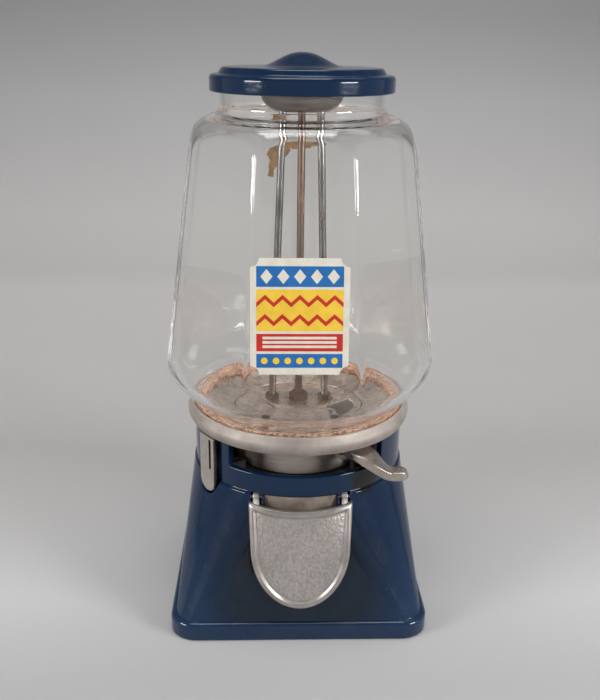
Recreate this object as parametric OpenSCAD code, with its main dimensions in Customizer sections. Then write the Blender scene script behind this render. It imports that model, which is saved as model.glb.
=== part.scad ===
// Counter-top nut vendor: a tapering cast base, a glass globe with eight flats, a swinging lever that turns a
// measuring drum, and a hinged delivery flap. Millimetres, +Z up, the front faces -Y.
// The origin is the centre of the foot, on the counter.
// Plan angles run from the front, positive to the right.

/* [Base casting] */
// Width of the square foot
foot_w = 166; // [150:1:190]
// Corner radius of the foot in plan
foot_r = 18; // [12:1:26]
// Height of the foot rim
foot_h = 12; // [9:0.5:16]
// Step from the foot rim in to the body wall
foot_step = 3.4; // [2:0.2:5]
// Rounding of the foot's top edge
foot_round = 3.2; // [2:0.2:4]
// Height of the tapering body above the foot
body_h = 83; // [76:1:100]
// Outer diameter of the round collar on top of the body
collar_d = 138.4; // [134:0.2:142]
// Height of the round collar
collar_h = 29.5; // [29:0.5:38]
// Step from the body's round top in to the collar
collar_step = 1; // [0.5:0.1:1.4]
// Wall of the casting
wall = 4; // [3:0.25:4.5]
// Height of the band of collar left below the lever slot
band_h = 13.6; // [12.5:0.1:15]
// Left end of the lever slot, as a plan angle
slot_left = -40.4; // [-42:0.2:-38]
// Right end of the lever slot, as a plan angle
slot_right = 48.5; // [47:0.5:55]

/* [Hopper ring] */
// Outer diameter of the ring
ring_d = 147; // [144:0.5:156]
// Height of the ring's outer band
ring_h = 12; // [11:0.5:15]
// Wall of the ring around the gasket
ring_wall = 3.6; // [2.5:0.1:4.5]
// Depth of the gasket seat below the ring's rim
seat_depth = 3.5; // [3:0.1:4]
// Thickness of the cork gasket
gasket_t = 3; // [2:0.1:3]
// Radial width of the cork gasket
gasket_w = 9; // [7:0.5:10]
// Wall of the funnel inside the ring
funnel_wall = 2.6; // [2:0.1:3]

/* [Glass globe] */
// Height of the glass from its foot to its mouth
globe_h = 202; // [190:1:230]
// Wall of the glass
glass_wall = 3.2; // [2.5:0.1:4]
// Outer diameter of the glass foot
glass_foot_d = 134; // [130:0.5:137]
// Height of the glass foot
glass_foot_h = 4.5; // [3.5:0.5:5]
// Width across opposite flats at the chin
flats_chin = 166.8; // [160:0.2:172]
// Width across opposite flats at the shoulder
flats_shoulder = 135; // [130:0.5:142]
// Height of the chin above the glass foot
chin_h = 36; // [34:1:42]
// Radius that turns the glass in below the chin
chin_r = 33; // [32:0.5:34]
// Radius of the shoulder below the neck
shoulder_r = 20.6; // [18:0.2:21]
// Outer diameter of the neck
neck_d = 100.8; // [98:0.2:102]
// Height of the neck above the shoulder
neck_h = 19; // [17:0.5:24]
// Ratio of the softened corner's radius to the flat's distance
corner_soft = 1.06; // [1.04:0.005:1.07]

/* [Lid] */
// Outer diameter of the lid
lid_d = 111.8; // [108:0.2:118]
// Depth of the rim that hangs over the neck
lid_skirt = 5.7; // [4:0.1:8]
// Height of the lid's rim from its edge to the step
lid_rim_h = 9.9; // [9:0.1:12]
// Diameter of the raised plate on the lid
lid_plate_d = 97; // [90:0.5:100]
// Height of the raised plate above the rim
lid_step_h = 4.4; // [3:0.1:6]
// Diameter of the central dome
dome_d = 53; // [44:1:60]
// Height of the central dome above the plate
dome_h = 8.4; // [6:0.1:12]
// Wall of the lid
lid_wall = 3.2; // [2.5:0.1:3.6]
// Running gap between the lid's rim and the neck
lid_gap = 1; // [0.5:0.1:1.5]

/* [Lever and measuring drum] */
// Diameter of the measuring drum
drum_d = 87; // [84:0.5:88]
// Height of the measuring drum
drum_h = 29.5; // [28:0.5:30]
// Inner radius of the drum's nut chamber
chamber_in = 20; // [18:0.5:22]
// Outer radius of the drum's nut chamber
chamber_out = 39; // [36:0.5:40]
// Angle that the nut chamber spans
chamber_angle = 50; // [44:1:52]
// Swing of the lever from its rest to the dispensing end
lever_swing = 65; // [62:0.5:65]
// Plan angle of the lever's root at rest
lever_angle = 34.8; // [33:0.2:35.4]
// Angle that the lever's root spans
lever_root_angle = 15.4; // [13:0.2:16]
// Thickness of the lever bar
lever_t = 6.4; // [5:0.2:7]
// Drop of the handle below the lever's root
lever_drop = 11; // [9:0.5:12]
// Reach of the handle's end to the right of the drum's axis
handle_reach = 61.5; // [58:0.5:63]
// Width of the handle's end
handle_w = 8.4; // [7:0.2:11]
// Diameter of the drum's bush
bush_d = 10; // [9:0.5:12]

/* [Delivery flap and chute] */
// Width of the flap across its top corners
flap_w = 65; // [63:0.5:68]
// Width of the flap where its round end begins
flap_waist = 56; // [53:0.5:58]
// Drop of the flap's top corners below the body's top
flap_drop = 4; // [3.4:0.1:6]
// Height of the flap's lowest point above the counter
flap_bottom = 22.5; // [20:0.5:26]
// Height at which the flap's round end begins
flap_waist_z = 58; // [54:1:62]
// Dip of the flap's top edge at its middle
flap_dip = 3.4; // [1:0.1:4]
// Thickness of the flap at its rim
flap_t = 3.2; // [2.8:0.1:3.6]
// Depth of the flap's sunk panel
flap_sink = 1.4; // [0.8:0.1:1.6]
// Width of the flap's raised rim
flap_rim = 3.8; // [3:0.1:5]
// Width of each hinge ear
ear_w = 4.1; // [3.5:0.1:4.5]
// Distance of each hinge ear's middle from the centre line
ear_x = 27.6; // [27.2:0.1:28]
// Radius of the hinge ear's eye
ear_r = 3; // [2.7:0.1:3.2]
// Diameter of the hinge pin
pin_d = 3; // [2.4:0.1:3.2]
// Half width of the delivery opening
mouth_half = 22.8; // [21:0.2:22.8]
// Height of the delivery opening's lowest point
mouth_bottom = 30; // [28:0.5:32]
// Sheet thickness of the delivery chute
chute_t = 2.4; // [2:0.1:3]

/* [Coin entry] */
// Plan angle of the coin plate
coin_angle = -55; // [-57:0.5:-54]
// Width of the coin plate
coin_plate_w = 17; // [15:0.5:18]
// Distance of the coin plate's face from the axis
coin_face = 72.6; // [72.2:0.1:73.2]
// Height of the coin plate
coin_plate_h = 38.6; // [36:0.2:39]
// Width of the coin slit
slit_w = 2.1; // [1.9:0.05:2.4]
// Height of the coin slit
slit_h = 20.8; // [20:0.1:21.5]
// Offset of the coin slit from the plate's middle
slit_offset = 3.2; // [2:0.1:3.4]

/* [Rods] */
// Diameter of the three upright rods
rod_d = 4.76; // [4.4:0.02:5.2]
// Distance of the side rods from the axis at the hopper floor
rod_foot_x = 17.8; // [16:0.2:19]
// Distance of the side rods from the axis at the yoke
rod_head_x = 11.6; // [11.2:0.2:13]
// Length of the oval yoke
yoke_l = 50; // [46:1:54]
// Width of the oval yoke
yoke_w = 34; // [32:1:36]
// Height of the yoke
yoke_h = 12; // [10:0.5:13]

/* [Lock] */
// Height of the rear lock above the body's top
lock_rise = 12; // [11.5:0.5:12.5]
// Diameter of the lock barrel
lock_d = 16; // [14:0.5:17]

/* [Hidden] */
$fn = 96;
EPS = 0.01;
FIT = 0.05;
SLIP = 0.3;
FAR = 200;

z_body = foot_h;
z_collar = z_body + body_h;
z_ring = z_collar + collar_h;
z_rim = z_ring + ring_h;
z_seat = z_rim - seat_depth;
z_glass = z_seat + gasket_t;
z_mouth = z_glass + globe_h;
z_band = z_collar + band_h;
shoulder_h = globe_h - neck_h - shoulder_r;

body_w = foot_w - 2 * foot_step;
body_r = foot_r - foot_step / 2;
collar_r = collar_d / 2;
collar_in = collar_r - wall;
body_top_r = collar_r + collar_step;
ring_r = ring_d / 2;
gasket_out = ring_r - ring_wall - SLIP;
gasket_in = gasket_out - gasket_w;
drum_r = drum_d / 2;
rod_r = rod_d / 2;
bush_r = bush_d / 2;

// Bottom plate in the foot
ledge_z = 4.2;
ledge_w = 3;
plate_t = 2;
corner_boss_r = 6;
corner_boss_top = 36;
corner_grip = 2.6;
corner_at = taper(corner_boss_top) * (body_w / 2 - body_r)
    + (body_corner(corner_boss_top) - wall) * sqrt(0.5) - corner_grip;

// Hopper floor plate under the drum
floor_t = 3.5;
floor_top = z_collar + 2.5;
floor_z = floor_top - floor_t;
floor_r = collar_in - 0.7;
floor_flat = -50;
floor_back = drum_r + 1;
drum_z = floor_top + 0.5;
drum_top = drum_z + drum_h;

// Inside of the hopper ring
spigot_h = 2;
spigot_w = 2.4;
spigot_r = collar_in - SLIP;
ring_edge_r = 1.6;
ring_low_r = 1.4;
funnel_lip_r = drum_r + 0.8;
funnel_lip_w = 2.2;
funnel_lip_h = 2.4;
funnel_top = drum_top + 0.1;
pillar_angles = [62, 130, 262];
pillar_at = 58.4;
pillar_r = 3.6;
boss_r = 4.3;
stud_h = 5;
screw_r = 1.9;
screw_head_r = 3.4;
screw_head_h = 2;

// Cover over the outlet side of the drum
cover_t = 2.5;
cover_z = funnel_top + 2.4;
cover_top = cover_z + cover_t;
cover_half = 36;
cover_hub_r = 24;
cover_r = funnel_lip_r + 6;
cover_foot_r = funnel_lip_r + 3;
cover_foot_angle = 28;
cover_foot_d = 6;

// Nuts and washers on the rods
nut_h = 4;
nut_r = 5.2;
hub_nut_h = 5;
hub_nut_r = 6.4;

// Yoke under the lid
yoke_top = z_mouth - 6.5;
yoke_z = yoke_top - yoke_h;
rod_slope = atan2(rod_foot_x - rod_head_x, yoke_z - cover_top);

// Lever
lever_z = z_ring - 3.2 - lever_t;
lever_out = collar_r + 2.5;
lever_bend = 6;
handle_y = -61;
handle_root_x = 46;
chamber_rest = lever_swing;
seat_out = drum_r + 13.5;
seat_h = 4;
lever_in = drum_r + SLIP;
lever_screw_r = [drum_r + 4.7, drum_r + 10.7];

// Return spring under the floor plate
spring_turns = 3;
spring_in = bush_r + 1;
spring_pitch = 2.6;
spring_t = 0.8;
spring_h = 5;
spring_z = floor_z - 1 - spring_h;
spring_out = spring_in + spring_turns * spring_pitch;
post_r = 1.6;
bush_bottom = spring_z - 2;
rod_bottom = bush_bottom - 8;

// Rest stop for the lever seat
stop_r = 2.5;
stop_at = drum_r + 6.5;
stop_angle = lever_angle + lever_root_angle / 2 + (stop_r + SLIP) / stop_at * 180 / PI;

// Flap hinge
flap_top = z_collar - flap_drop;
hinge_z = z_collar - 3.7;
hinge_y = -body_front(ear_x, z_collar, -3.5);
notch_in = ear_x - ear_w / 2 - 1.4;
notch_out = ear_x + ear_w / 2 + 1.4;
notch_bottom = flap_top - 7;
pin_r = pin_d / 2;
pin_half = notch_out + 2.15;
flap_gap = 0.4;

// Lean of the body's flat walls and the chute's fixing screws
wall_angle = atan2((body_w / 2 - body_top_r), body_h);
wall_lean = 1 / cos(wall_angle);
chute_screw_z = 20;
chute_screw_x = 14;

// Coin entry, in the coin plate's own frame
coin_top = z_ring - 0.3;
coin_bottom = coin_top - coin_plate_h;
coin_back = 62;
coin_gap = 0.4;
coin_side_gap = 1.2;
coin_plate_t = 2.2;
slit_top = coin_top - 1.8;
track_w = 8;
track_in = drum_r + 4;
cheek_h = 6;
dog_angle = -80;
dog_at = drum_r + 0.45 * (coin_back - drum_r);
dog_pin_r = 1.8;
dog_z = floor_top + 8;
dog_h = 5;
dog_reach = 24.2;

// Rear lock in the collar
lock_z = z_collar + lock_rise;
lock_r = lock_d / 2;
lock_flange_r = lock_r + 2.2;
lock_flange_t = 2.4;
lock_plug_r = lock_r - 3;
lock_pad_r = lock_r + 3.6;
lock_face = collar_r + 1;
lock_back = collar_in - 3.6;
lock_nut_t = 4;
lock_end = lock_back - lock_nut_t - 3.4;
cam_t = 2.5;
cam_l = 15;
cam_w = 11;
keeper_w = 5;
keeper_y = lock_end - SLIP - cam_t / 2;
floor_back_half = lock_pad_r + 1;
keeper_x = floor_back_half + 0.2;

// Points and solids shared by several pieces

// Point at a radius and a plan angle
function polar(r, angle) = [r * sin(angle), -r * cos(angle)];

// Points along an arc, with angles from the X axis
function arc(centre, r, a0, a1, n) =
    [for (i = [0:n]) centre + r * [cos(a0 + (a1 - a0) * i / n), sin(a0 + (a1 - a0) * i / n)]];

// Half width and corner radius of the body's section at a height, between the foot and the collar
function taper(z) = (z_collar - z) / body_h;
function body_corner(z) = (1 - taper(z)) * body_top_r + taper(z) * body_r;
function body_half(z) = body_corner(z) + taper(z) * (body_w / 2 - body_r);

// Distance of the body's front wall from the axis at a place across and a height, grown outward
function body_front(x, z, grow) =
    let (half = taper(z) * (body_w / 2 - body_r))
    half + sqrt(pow(body_corner(z) + grow, 2) - pow(max(0, x - half), 2));

// Wedge of plan between two angles
module wedge(a0, a1, r, h) {
    steps = ceil((a1 - a0) / 30);
    reach = r / cos(15) + 1;
    linear_extrude(h)
        polygon(concat([[0, 0]], [for (i = [0:steps]) polar(reach, a0 + (a1 - a0) * i / steps)]));
}

// Ring sector between two radii and two plan angles
module sector(r0, r1, a0, a1, h) {
    intersection() {
        difference() {
            cylinder(r = r1, h = h);
            translate([0, 0, -1]) cylinder(r = r0, h = h + 2);
        }
        wedge(a0, a1, r1, h);
    }
}

// Places its children at a radius and a plan angle, turned so that -Y is outward
module at_plan(r, angle, z = 0) {
    rotate([0, 0, angle]) translate([0, -r, z]) children();
}

// Rounded square slab
module slab(w, r, h) {
    half = w / 2 - r;
    linear_extrude(h) union() {
        square([w, 2 * half], center = true);
        square([2 * half, w], center = true);
        for (x = [-half, half], y = [-half, half]) translate([x, y]) circle(r);
    }
}

// The tapering body, grown outward all round by a distance
module body_form(grow) {
    hull() {
        for (x = [-1, 1], y = [-1, 1])
            translate([x * (body_w / 2 - body_r), y * (body_w / 2 - body_r), z_body - 2])
                cylinder(r = body_r + grow, h = 2, $fn = 32);
        translate([0, 0, z_collar - EPS]) cylinder(r = body_top_r + grow, h = EPS, $fn = 96);
    }
}

// Screw with a round cheese head, its head up
module screw(length, r = screw_r) {
    cylinder(r = screw_head_r, h = screw_head_h);
    translate([0, 0, -length]) cylinder(r = r, h = length + EPS);
}

// Hexagon nut around a rod
module nut(r, h) {
    difference() {
        cylinder(r = r, h = h, $fn = 6);
        translate([0, 0, -1]) cylinder(r = rod_r + FIT, h = h + 2);
    }
}

// Puts its children on the axis of a side rod, with the origin at the top of the drum cover
module on_side_rod(side) {
    translate([side * rod_foot_x, 0, cover_top]) rotate([0, -side * rod_slope, 0]) children();
}

// Base casting

// Outer edge of the foot's section, from the counter up to its rounded top, at a distance from the centre
function foot_edge(r) =
    concat([[r - 0.8, 0], [r, 0.8]], arc([r - foot_round, foot_h - foot_round], foot_round, 0, 90, 8));

module foot() {
    half = foot_w / 2 - foot_r;
    right = foot_edge(foot_w / 2);
    section = concat(right, [for (i = [len(right) - 1:-1:0]) [-right[i][0], right[i][1]]]);
    for (x = [-half, half], y = [-half, half]) translate([x, y, 0])
        rotate_extrude() polygon(concat([[0, 0]], foot_edge(foot_r), [[0, foot_h]]));
    for (turn = [0, 90]) rotate([90, 0, turn]) translate([0, 0, -half])
        linear_extrude(2 * half) polygon(section);
}

// Outline of the delivery opening, as a front view
module mouth_outline() {
    translate([-mouth_half, mouth_bottom + mouth_half])
        square([2 * mouth_half, z_collar - mouth_bottom - mouth_half]);
    translate([0, mouth_bottom + mouth_half]) circle(mouth_half);
}

// Runs a front-view outline through from y0 to y1
module front_run(y0, y1) {
    translate([0, y1, 0]) rotate([90, 0, 0]) linear_extrude(y1 - y0) children();
}

// Outline of the coin plate, as seen from outside, grown at its sides and end
module coin_outline(left, right, end, top) {
    r = coin_plate_w / 2;
    translate([-r - left, coin_bottom + r]) square([2 * r + left + right, top - coin_bottom - r]);
    translate([(right - left) / 2, coin_bottom + r - end])
        intersection() {
            circle(r + (left + right) / 2);
            translate([-FAR / 2, -FAR]) square([FAR, FAR + end]);
        }
}

module base_casting() {
    color("midnightblue")
    difference() {
        union() {
            difference() {
                union() {
                    foot();
                    body_form(0);
                    translate([0, 0, z_collar - 1]) cylinder(r = collar_r, h = collar_h + 1);
                    translate([0, 0, lock_z]) rotate([-90, 0, 0]) cylinder(r = lock_pad_r, h = lock_face);
                }
                body_form(-wall);
                translate([0, 0, -1]) slab(body_w - 2 * wall, body_r - wall, z_body);
                translate([0, 0, -1])
                    slab(body_w - 2 * wall + 2 * ledge_w, body_r - wall + ledge_w, ledge_z + 1);
                translate([0, 0, z_collar - 3]) cylinder(r = collar_in, h = collar_h + 4);
            }
            difference() {
                translate([0, lock_back, lock_z]) rotate([-90, 0, 0]) cylinder(r = lock_pad_r, h = wall);
                translate([0, 0, z_ring - spigot_h - SLIP]) cylinder(r = FAR, h = FAR);
            }
            intersection() {
                body_form(-wall / 2);
                for (x = [-1, 1], y = [-1, 1]) translate([x * corner_at, y * corner_at, ledge_z])
                    cylinder(r = corner_boss_r, h = corner_boss_top - ledge_z);
            }
            for (x = [-1, 1], y = [-1, 1]) translate([x * corner_at, y * corner_at, ledge_z])
                cylinder(r = corner_boss_r, h = z_body - ledge_z);
        }
        translate([0, 0, z_band]) sector(collar_in - 6, collar_r + 3, slot_left, slot_right, collar_h);
        front_run(-FAR, -48) mouth_outline();
        for (side = [-1, 1])
            translate([side * ear_x - (notch_out - notch_in) / 2, -FAR / 2, notch_bottom])
                cube([notch_out - notch_in, FAR / 2 - 50, z_collar - notch_bottom]);
        translate([-pin_half - FIT, hinge_y, hinge_z]) rotate([0, 90, 0])
            cylinder(r = pin_r + FIT, h = 2 * (pin_half + FIT));
        rotate([0, 0, coin_angle])
            front_run(-FAR / 2, -55) coin_outline(coin_gap, coin_side_gap, coin_gap, z_ring + 1);
        translate([0, 40, lock_z]) rotate([-90, 0, 0]) cylinder(r = lock_r + FIT, h = FAR);
        for (x = [-1, 1], y = [-1, 1]) translate([x * corner_at, y * corner_at, ledge_z - 1])
            cylinder(r = screw_r + FIT, h = 15);
        for (side = [-1, 1]) on_front_wall(side * chute_screw_x) translate([0, 0, -wall + 1.2])
            cylinder(r = screw_r + FIT, h = wall);
    }
}

module base_plate() {
    side = body_w - 2 * wall + 2 * ledge_w - 2 * SLIP;
    color("dimgray") translate([0, 0, ledge_z - plate_t]) difference() {
        slab(side, body_r - wall + ledge_w - SLIP, plate_t);
        for (x = [-1, 1], y = [-1, 1]) translate([x * corner_at, y * corner_at, -1])
            cylinder(r = screw_r + 0.1, h = plate_t + 2);
    }
}

module base_plate_screws() {
    color("gainsboro") for (x = [-1, 1], y = [-1, 1])
        translate([x * corner_at, y * corner_at, ledge_z - plate_t]) mirror([0, 0, 1]) screw(plate_t + 10);
}

// Hopper ring and what it holds

module hopper_ring() {
    rim_in = ring_r - ring_wall;
    under = z_seat - funnel_wall;
    color("silver")
    difference() {
        union() {
            rotate_extrude() polygon(concat(
                arc([ring_r - ring_low_r, z_ring + ring_low_r], ring_low_r, -90, 0, 5),
                arc([ring_r - ring_edge_r, z_rim - ring_edge_r], ring_edge_r, 0, 90, 6),
                [[rim_in + 0.6, z_rim], [rim_in, z_rim - 0.6], [rim_in, z_seat], [gasket_in - 1.5, z_seat],
                 [funnel_lip_r, funnel_top], [funnel_lip_r, funnel_top - funnel_lip_h],
                 [funnel_lip_r + funnel_lip_w, funnel_top - funnel_lip_h], [gasket_in - 1.5, under],
                 [spigot_r - spigot_w, under], [spigot_r - spigot_w, z_ring - spigot_h],
                 [spigot_r, z_ring - spigot_h], [spigot_r, z_ring]]));
            for (a = pillar_angles) at_plan(pillar_at, a, z_ring - spigot_h)
                cylinder(r = boss_r, h = under - z_ring + spigot_h + 0.5);
            for (side = [-1, 1]) at_plan(cover_foot_r, side * cover_foot_angle, funnel_top - 1)
                cylinder(r = cover_foot_d / 2, h = cover_z - funnel_top + 1);
        }
        for (a = pillar_angles) at_plan(pillar_at, a, z_ring - spigot_h - 1)
            cylinder(r = screw_r + FIT, h = stud_h + 2);
        for (side = [-1, 1]) at_plan(cover_foot_r, side * cover_foot_angle, cover_z - 3)
            cylinder(r = 1.5 + FIT, h = 4);
    }
}

module hopper_pillars() {
    color("gainsboro") for (a = pillar_angles) at_plan(pillar_at, a, floor_top) difference() {
        union() {
            cylinder(r = pillar_r, h = z_ring - spigot_h - floor_top);
            cylinder(r = screw_r, h = z_ring - spigot_h - floor_top + stud_h);
        }
        translate([0, 0, -1]) cylinder(r = screw_r + FIT, h = 9);
    }
}

module floor_plate() {
    color("lightgray")
    difference() {
        intersection() {
            translate([0, 0, floor_z]) cylinder(r = floor_r, h = floor_t);
            translate([-FAR / 2, floor_flat, 0]) cube([FAR, FAR, FAR]);
        }
        translate([0, 0, floor_z - 1]) {
            cylinder(r = bush_r + 0.08, h = floor_t + 2);
            sector(chamber_in, chamber_out, -chamber_angle / 2, chamber_angle / 2, floor_t + 2);
            translate([-floor_back_half, floor_back, 0]) cube([2 * floor_back_half, FAR, floor_t + 2]);
        }
        for (a = pillar_angles) at_plan(pillar_at, a, floor_z - 1)
            cylinder(r = screw_r + 0.1, h = floor_t + 2);
        at_plan(stop_at, stop_angle, floor_z - 1) cylinder(r = stop_r - 1, h = floor_t + 2);
        at_plan(dog_at, dog_angle, floor_z - 1) cylinder(r = dog_pin_r + FIT, h = floor_t + 2);
        at_plan(spring_out + post_r + FIT, 180, floor_z - 1) cylinder(r = post_r + FIT, h = floor_t + 2);
        translate([keeper_x + keeper_w / 2, keeper_y, floor_z - 1]) cylinder(r = 1 + FIT, h = floor_t + 2);
        rotate([0, 0, coin_angle]) {
            translate([-FAR / 2, -FAR - coin_back, floor_z - 1]) cube([FAR, FAR, floor_t + 2]);
            translate([slit_offset - slit_w, -coin_back + 1, floor_z - 1])
                cube([2 * slit_w, 12, floor_t + 2]);
        }
    }
}

module floor_screws() {
    color("gainsboro") for (a = pillar_angles)
        at_plan(pillar_at, a, floor_z) mirror([0, 0, 1]) screw(floor_t + 7);
}

module cork_gasket() {
    color("peru") translate([0, 0, z_seat]) difference() {
        cylinder(r = gasket_out, h = gasket_t);
        translate([0, 0, -1]) cylinder(r = gasket_in, h = gasket_t + 2);
    }
}

// Glass globe

// Distance of the flats from the axis at a height above the glass foot
function flat_at(z) = (flats_chin + (flats_shoulder - flats_chin) * (z - chin_h) / (shoulder_h - chin_h)) / 2;

// Half profile of the round form, moved in by a distance
function globe_profile(inset) =
    let (chin = [flat_at(chin_h) * corner_soft - chin_r, chin_h],
         shoulder = [flat_at(shoulder_h) * corner_soft - shoulder_r, shoulder_h],
         foot_r_in = glass_foot_d / 2 - inset,
         foot_a = -acos(min(1, max(-1, (foot_r_in + 1.2 - chin[0]) / (chin_r - inset)))),
         neck_r = neck_d / 2 - inset)
    concat(
        [[0, -inset], [foot_r_in, -inset], [foot_r_in, glass_foot_h - 1.5]],
        arc(chin, chin_r - inset, foot_a, 0, 12),
        arc(shoulder, shoulder_r - inset, 0, 78, 9),
        [[neck_r + 0.5, shoulder_h + shoulder_r - inset + 0.6],
         [neck_r, shoulder_h + shoulder_r - inset + 2.4],
         [neck_r, globe_h + inset], [0, globe_h + inset]]);

module globe_form(inset) {
    intersection() {
        rotate_extrude() polygon(globe_profile(inset));
        translate([0, 0, -10]) rotate([0, 0, 22.5])
            cylinder(r1 = (flat_at(-10) - inset) / cos(22.5),
                     r2 = (flat_at(globe_h + 10) - inset) / cos(22.5), h = globe_h + 20, $fn = 8);
    }
}

module glass_globe() {
    color("lightcyan", 0.4) translate([0, 0, z_glass]) difference() {
        globe_form(0);
        globe_form(glass_wall);
    }
}

// Cover, wiper and rods

module drum_cover() {
    color("silver")
    difference() {
        translate([0, 0, cover_z]) union() {
            cylinder(r = cover_hub_r, h = cover_t);
            sector(cover_hub_r - 1, cover_r, -cover_half, cover_half, cover_t);
        }
        translate([0, 0, cover_z - 1]) cylinder(r = rod_r + FIT, h = cover_t + 2);
        for (side = [-1, 1]) {
            on_side_rod(side) translate([0, 0, -2 * cover_t]) cylinder(r = rod_r + FIT, h = 3 * cover_t);
            at_plan(cover_foot_r, side * cover_foot_angle, cover_z - 1)
                cylinder(r = 1.5 + FIT, h = cover_t + 2);
        }
    }
}

module cover_screws() {
    color("gainsboro") for (side = [-1, 1])
        at_plan(cover_foot_r, side * cover_foot_angle, cover_top) {
            cylinder(r = 2.9, h = 2);
            translate([0, 0, -cover_t - 2.6]) cylinder(r = 1.5, h = cover_t + 2.6 + EPS);
        }
}

module wiper_strip() {
    length = drum_r - cover_hub_r + 6;
    color("saddlebrown") for (side = [-1, 1]) rotate([0, 0, side * (cover_half - 5)])
        translate([-1, -drum_r + 1, drum_top + SLIP]) cube([2, length, cover_z - drum_top - SLIP]);
}

module centre_rod() {
    color("rosybrown") translate([0, 0, rod_bottom]) cylinder(r = rod_r, h = z_mouth + 8 - rod_bottom);
}

module side_rods() {
    length = (yoke_top + 5 - cover_top) / cos(rod_slope);
    color("silver") for (side = [-1, 1])
        on_side_rod(side) translate([0, 0, -cover_t]) cylinder(r = rod_r, h = length + cover_t);
}

module rod_nuts() {
    lift = 0.2;
    color("rosybrown") {
        translate([0, 0, cover_top]) nut(hub_nut_r, hub_nut_h);
        translate([0, 0, yoke_top]) nut(nut_r, nut_h);
        translate([0, 0, bush_bottom - nut_h - SLIP]) nut(nut_r, nut_h);
        for (side = [-1, 1]) {
            on_side_rod(side) translate([0, 0, lift]) nut(nut_r - 0.6, nut_h);
            on_side_rod(side) translate([0, 0, (yoke_top - cover_top) / cos(rod_slope) + lift])
                nut(nut_r - 0.6, nut_h);
        }
    }
}

module rod_yoke() {
    half = (yoke_l - yoke_w) / 2;
    foot = 0.7;
    color("darkgray") difference() {
        hull() {
            for (side = [-1, 1], s = [[0, foot], [0.25, 0.86], [0.6, 0.97], [0.99, 1]])
                translate([side * half, 0, yoke_z + yoke_h * s[0]])
                    cylinder(r = yoke_w / 2 * s[1], h = yoke_h * 0.01, $fn = 48);
        }
        translate([0, 0, yoke_z - 1]) cylinder(r = rod_r + FIT, h = yoke_h + 2);
        for (side = [-1, 1])
            on_side_rod(side) translate([0, 0, yoke_z - cover_top - 4])
                cylinder(r = rod_r + FIT, h = yoke_h + 10);
    }
}

// Delivery chute

// Puts its children on the inner face of the front wall below the mouth, with +Z pointing inward
module on_front_wall(x) {
    translate([x, -body_half(chute_screw_z) + wall * wall_lean, chute_screw_z])
        rotate([-90 - wall_angle, 0, 0]) children();
}

module delivery_chute() {
    top = floor_z - SLIP;
    back_y = -chamber_in + 2;
    half = mouth_half + chute_t;
    lip_half = mouth_half - 0.4;
    lip_out = collar_r - 0.6;
    lip_in = lip_out - 1.8;
    lip_z = flap_top - 10;
    behind_pin = hinge_y + pin_r + 0.5;
    below_pin = hinge_z - pin_r - 1;
    function inner(z) = -body_half(z) + wall * wall_lean;
    low = mouth_bottom - 1;
    back = [[back_y, top], [back_y - 6, top - 26], [-44, mouth_bottom + 14], [inner(low) + 6, low],
            [inner(low) + SLIP, low]];
    outside = [[inner(low) + 6, low - chute_t], [-44 + chute_t, mouth_bottom + 14 - chute_t / 2],
               [back_y - 6 + chute_t, top - 26], [back_y + chute_t, top]];
    color("darkgray") difference() {
        union() {
            for (side = [-1, 1])
                translate([side > 0 ? mouth_half : -half, 0, 0]) rotate([90, 0, 90]) linear_extrude(chute_t)
                    polygon(concat(back, [[inner(low + 8) + 0.6, low + 8],
                                          [0.5 - body_front(half, lip_z, -wall), lip_z],
                                          [behind_pin, below_pin], [behind_pin, top]]));
            translate([-half, 0, 0]) rotate([90, 0, 90]) linear_extrude(2 * half)
                polygon(concat(back, [[inner(low - chute_t) + SLIP, low - chute_t]], outside));
            translate([-half, 0, 0]) rotate([90, 0, 90]) linear_extrude(2 * half)
                polygon([[inner(low), low], [inner(chute_screw_z - 6), chute_screw_z - 6],
                         [inner(chute_screw_z - 6) + chute_t * wall_lean, chute_screw_z - 6],
                         [inner(low) + chute_t * wall_lean, low]]);
            translate([0, 0, lip_z]) intersection() {
                union() {
                    sector(lip_in, lip_out, -30, 30, z_collar - SLIP - lip_z);
                    difference() {
                        cylinder(r = lip_out, h = chute_t);
                        translate([-FAR, behind_pin, -1]) cube([2 * FAR, FAR, FAR]);
                    }
                }
                translate([-lip_half, -FAR, 0]) cube([2 * lip_half, FAR, FAR]);
            }
            translate([-half, behind_pin - chute_t, lip_z]) cube([2 * half, chute_t, chute_t]);
        }
        for (side = [-1, 1]) on_front_wall(side * chute_screw_x) translate([0, 0, -1])
            cylinder(r = screw_r + 0.1, h = chute_t + 2);
    }
}

module chute_screws() {
    color("gainsboro") for (side = [-1, 1])
        on_front_wall(side * chute_screw_x) translate([0, 0, chute_t]) screw(chute_t + 2.4);
}

// Coin entry

module coin_plate() {
    boss_right = slit_offset + slit_w / 2 + 1.6;
    color("silver") rotate([0, 0, coin_angle]) difference() {
        union() {
            front_run(-coin_face, -coin_face + coin_plate_t) coin_outline(0, 0, 0, coin_top);
            intersection() {
                front_run(-coin_face + 1, -coin_back) coin_outline(0, 0, 0, coin_top);
                translate([boss_right - FAR, -FAR, 0]) cube([FAR, FAR, FAR]);
            }
        }
        translate([slit_offset - slit_w / 2, -coin_face - 1, slit_top - slit_h])
            cube([slit_w, coin_face - coin_back + 2, slit_h]);
        translate([0, 0, z_ring - spigot_h - SLIP]) cylinder(r = spigot_r + SLIP, h = FAR);
    }
}

module coin_track() {
    gap = slit_w + 0.4;
    color("lightgray") rotate([0, 0, coin_angle]) difference() {
        translate([slit_offset - track_w / 2, -coin_back, floor_top])
            cube([track_w, coin_back - track_in, cheek_h]);
        translate([slit_offset - gap / 2, -coin_back - 1, floor_top - 1])
            cube([gap, coin_back - track_in - 1, FAR]);
    }
}

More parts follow.
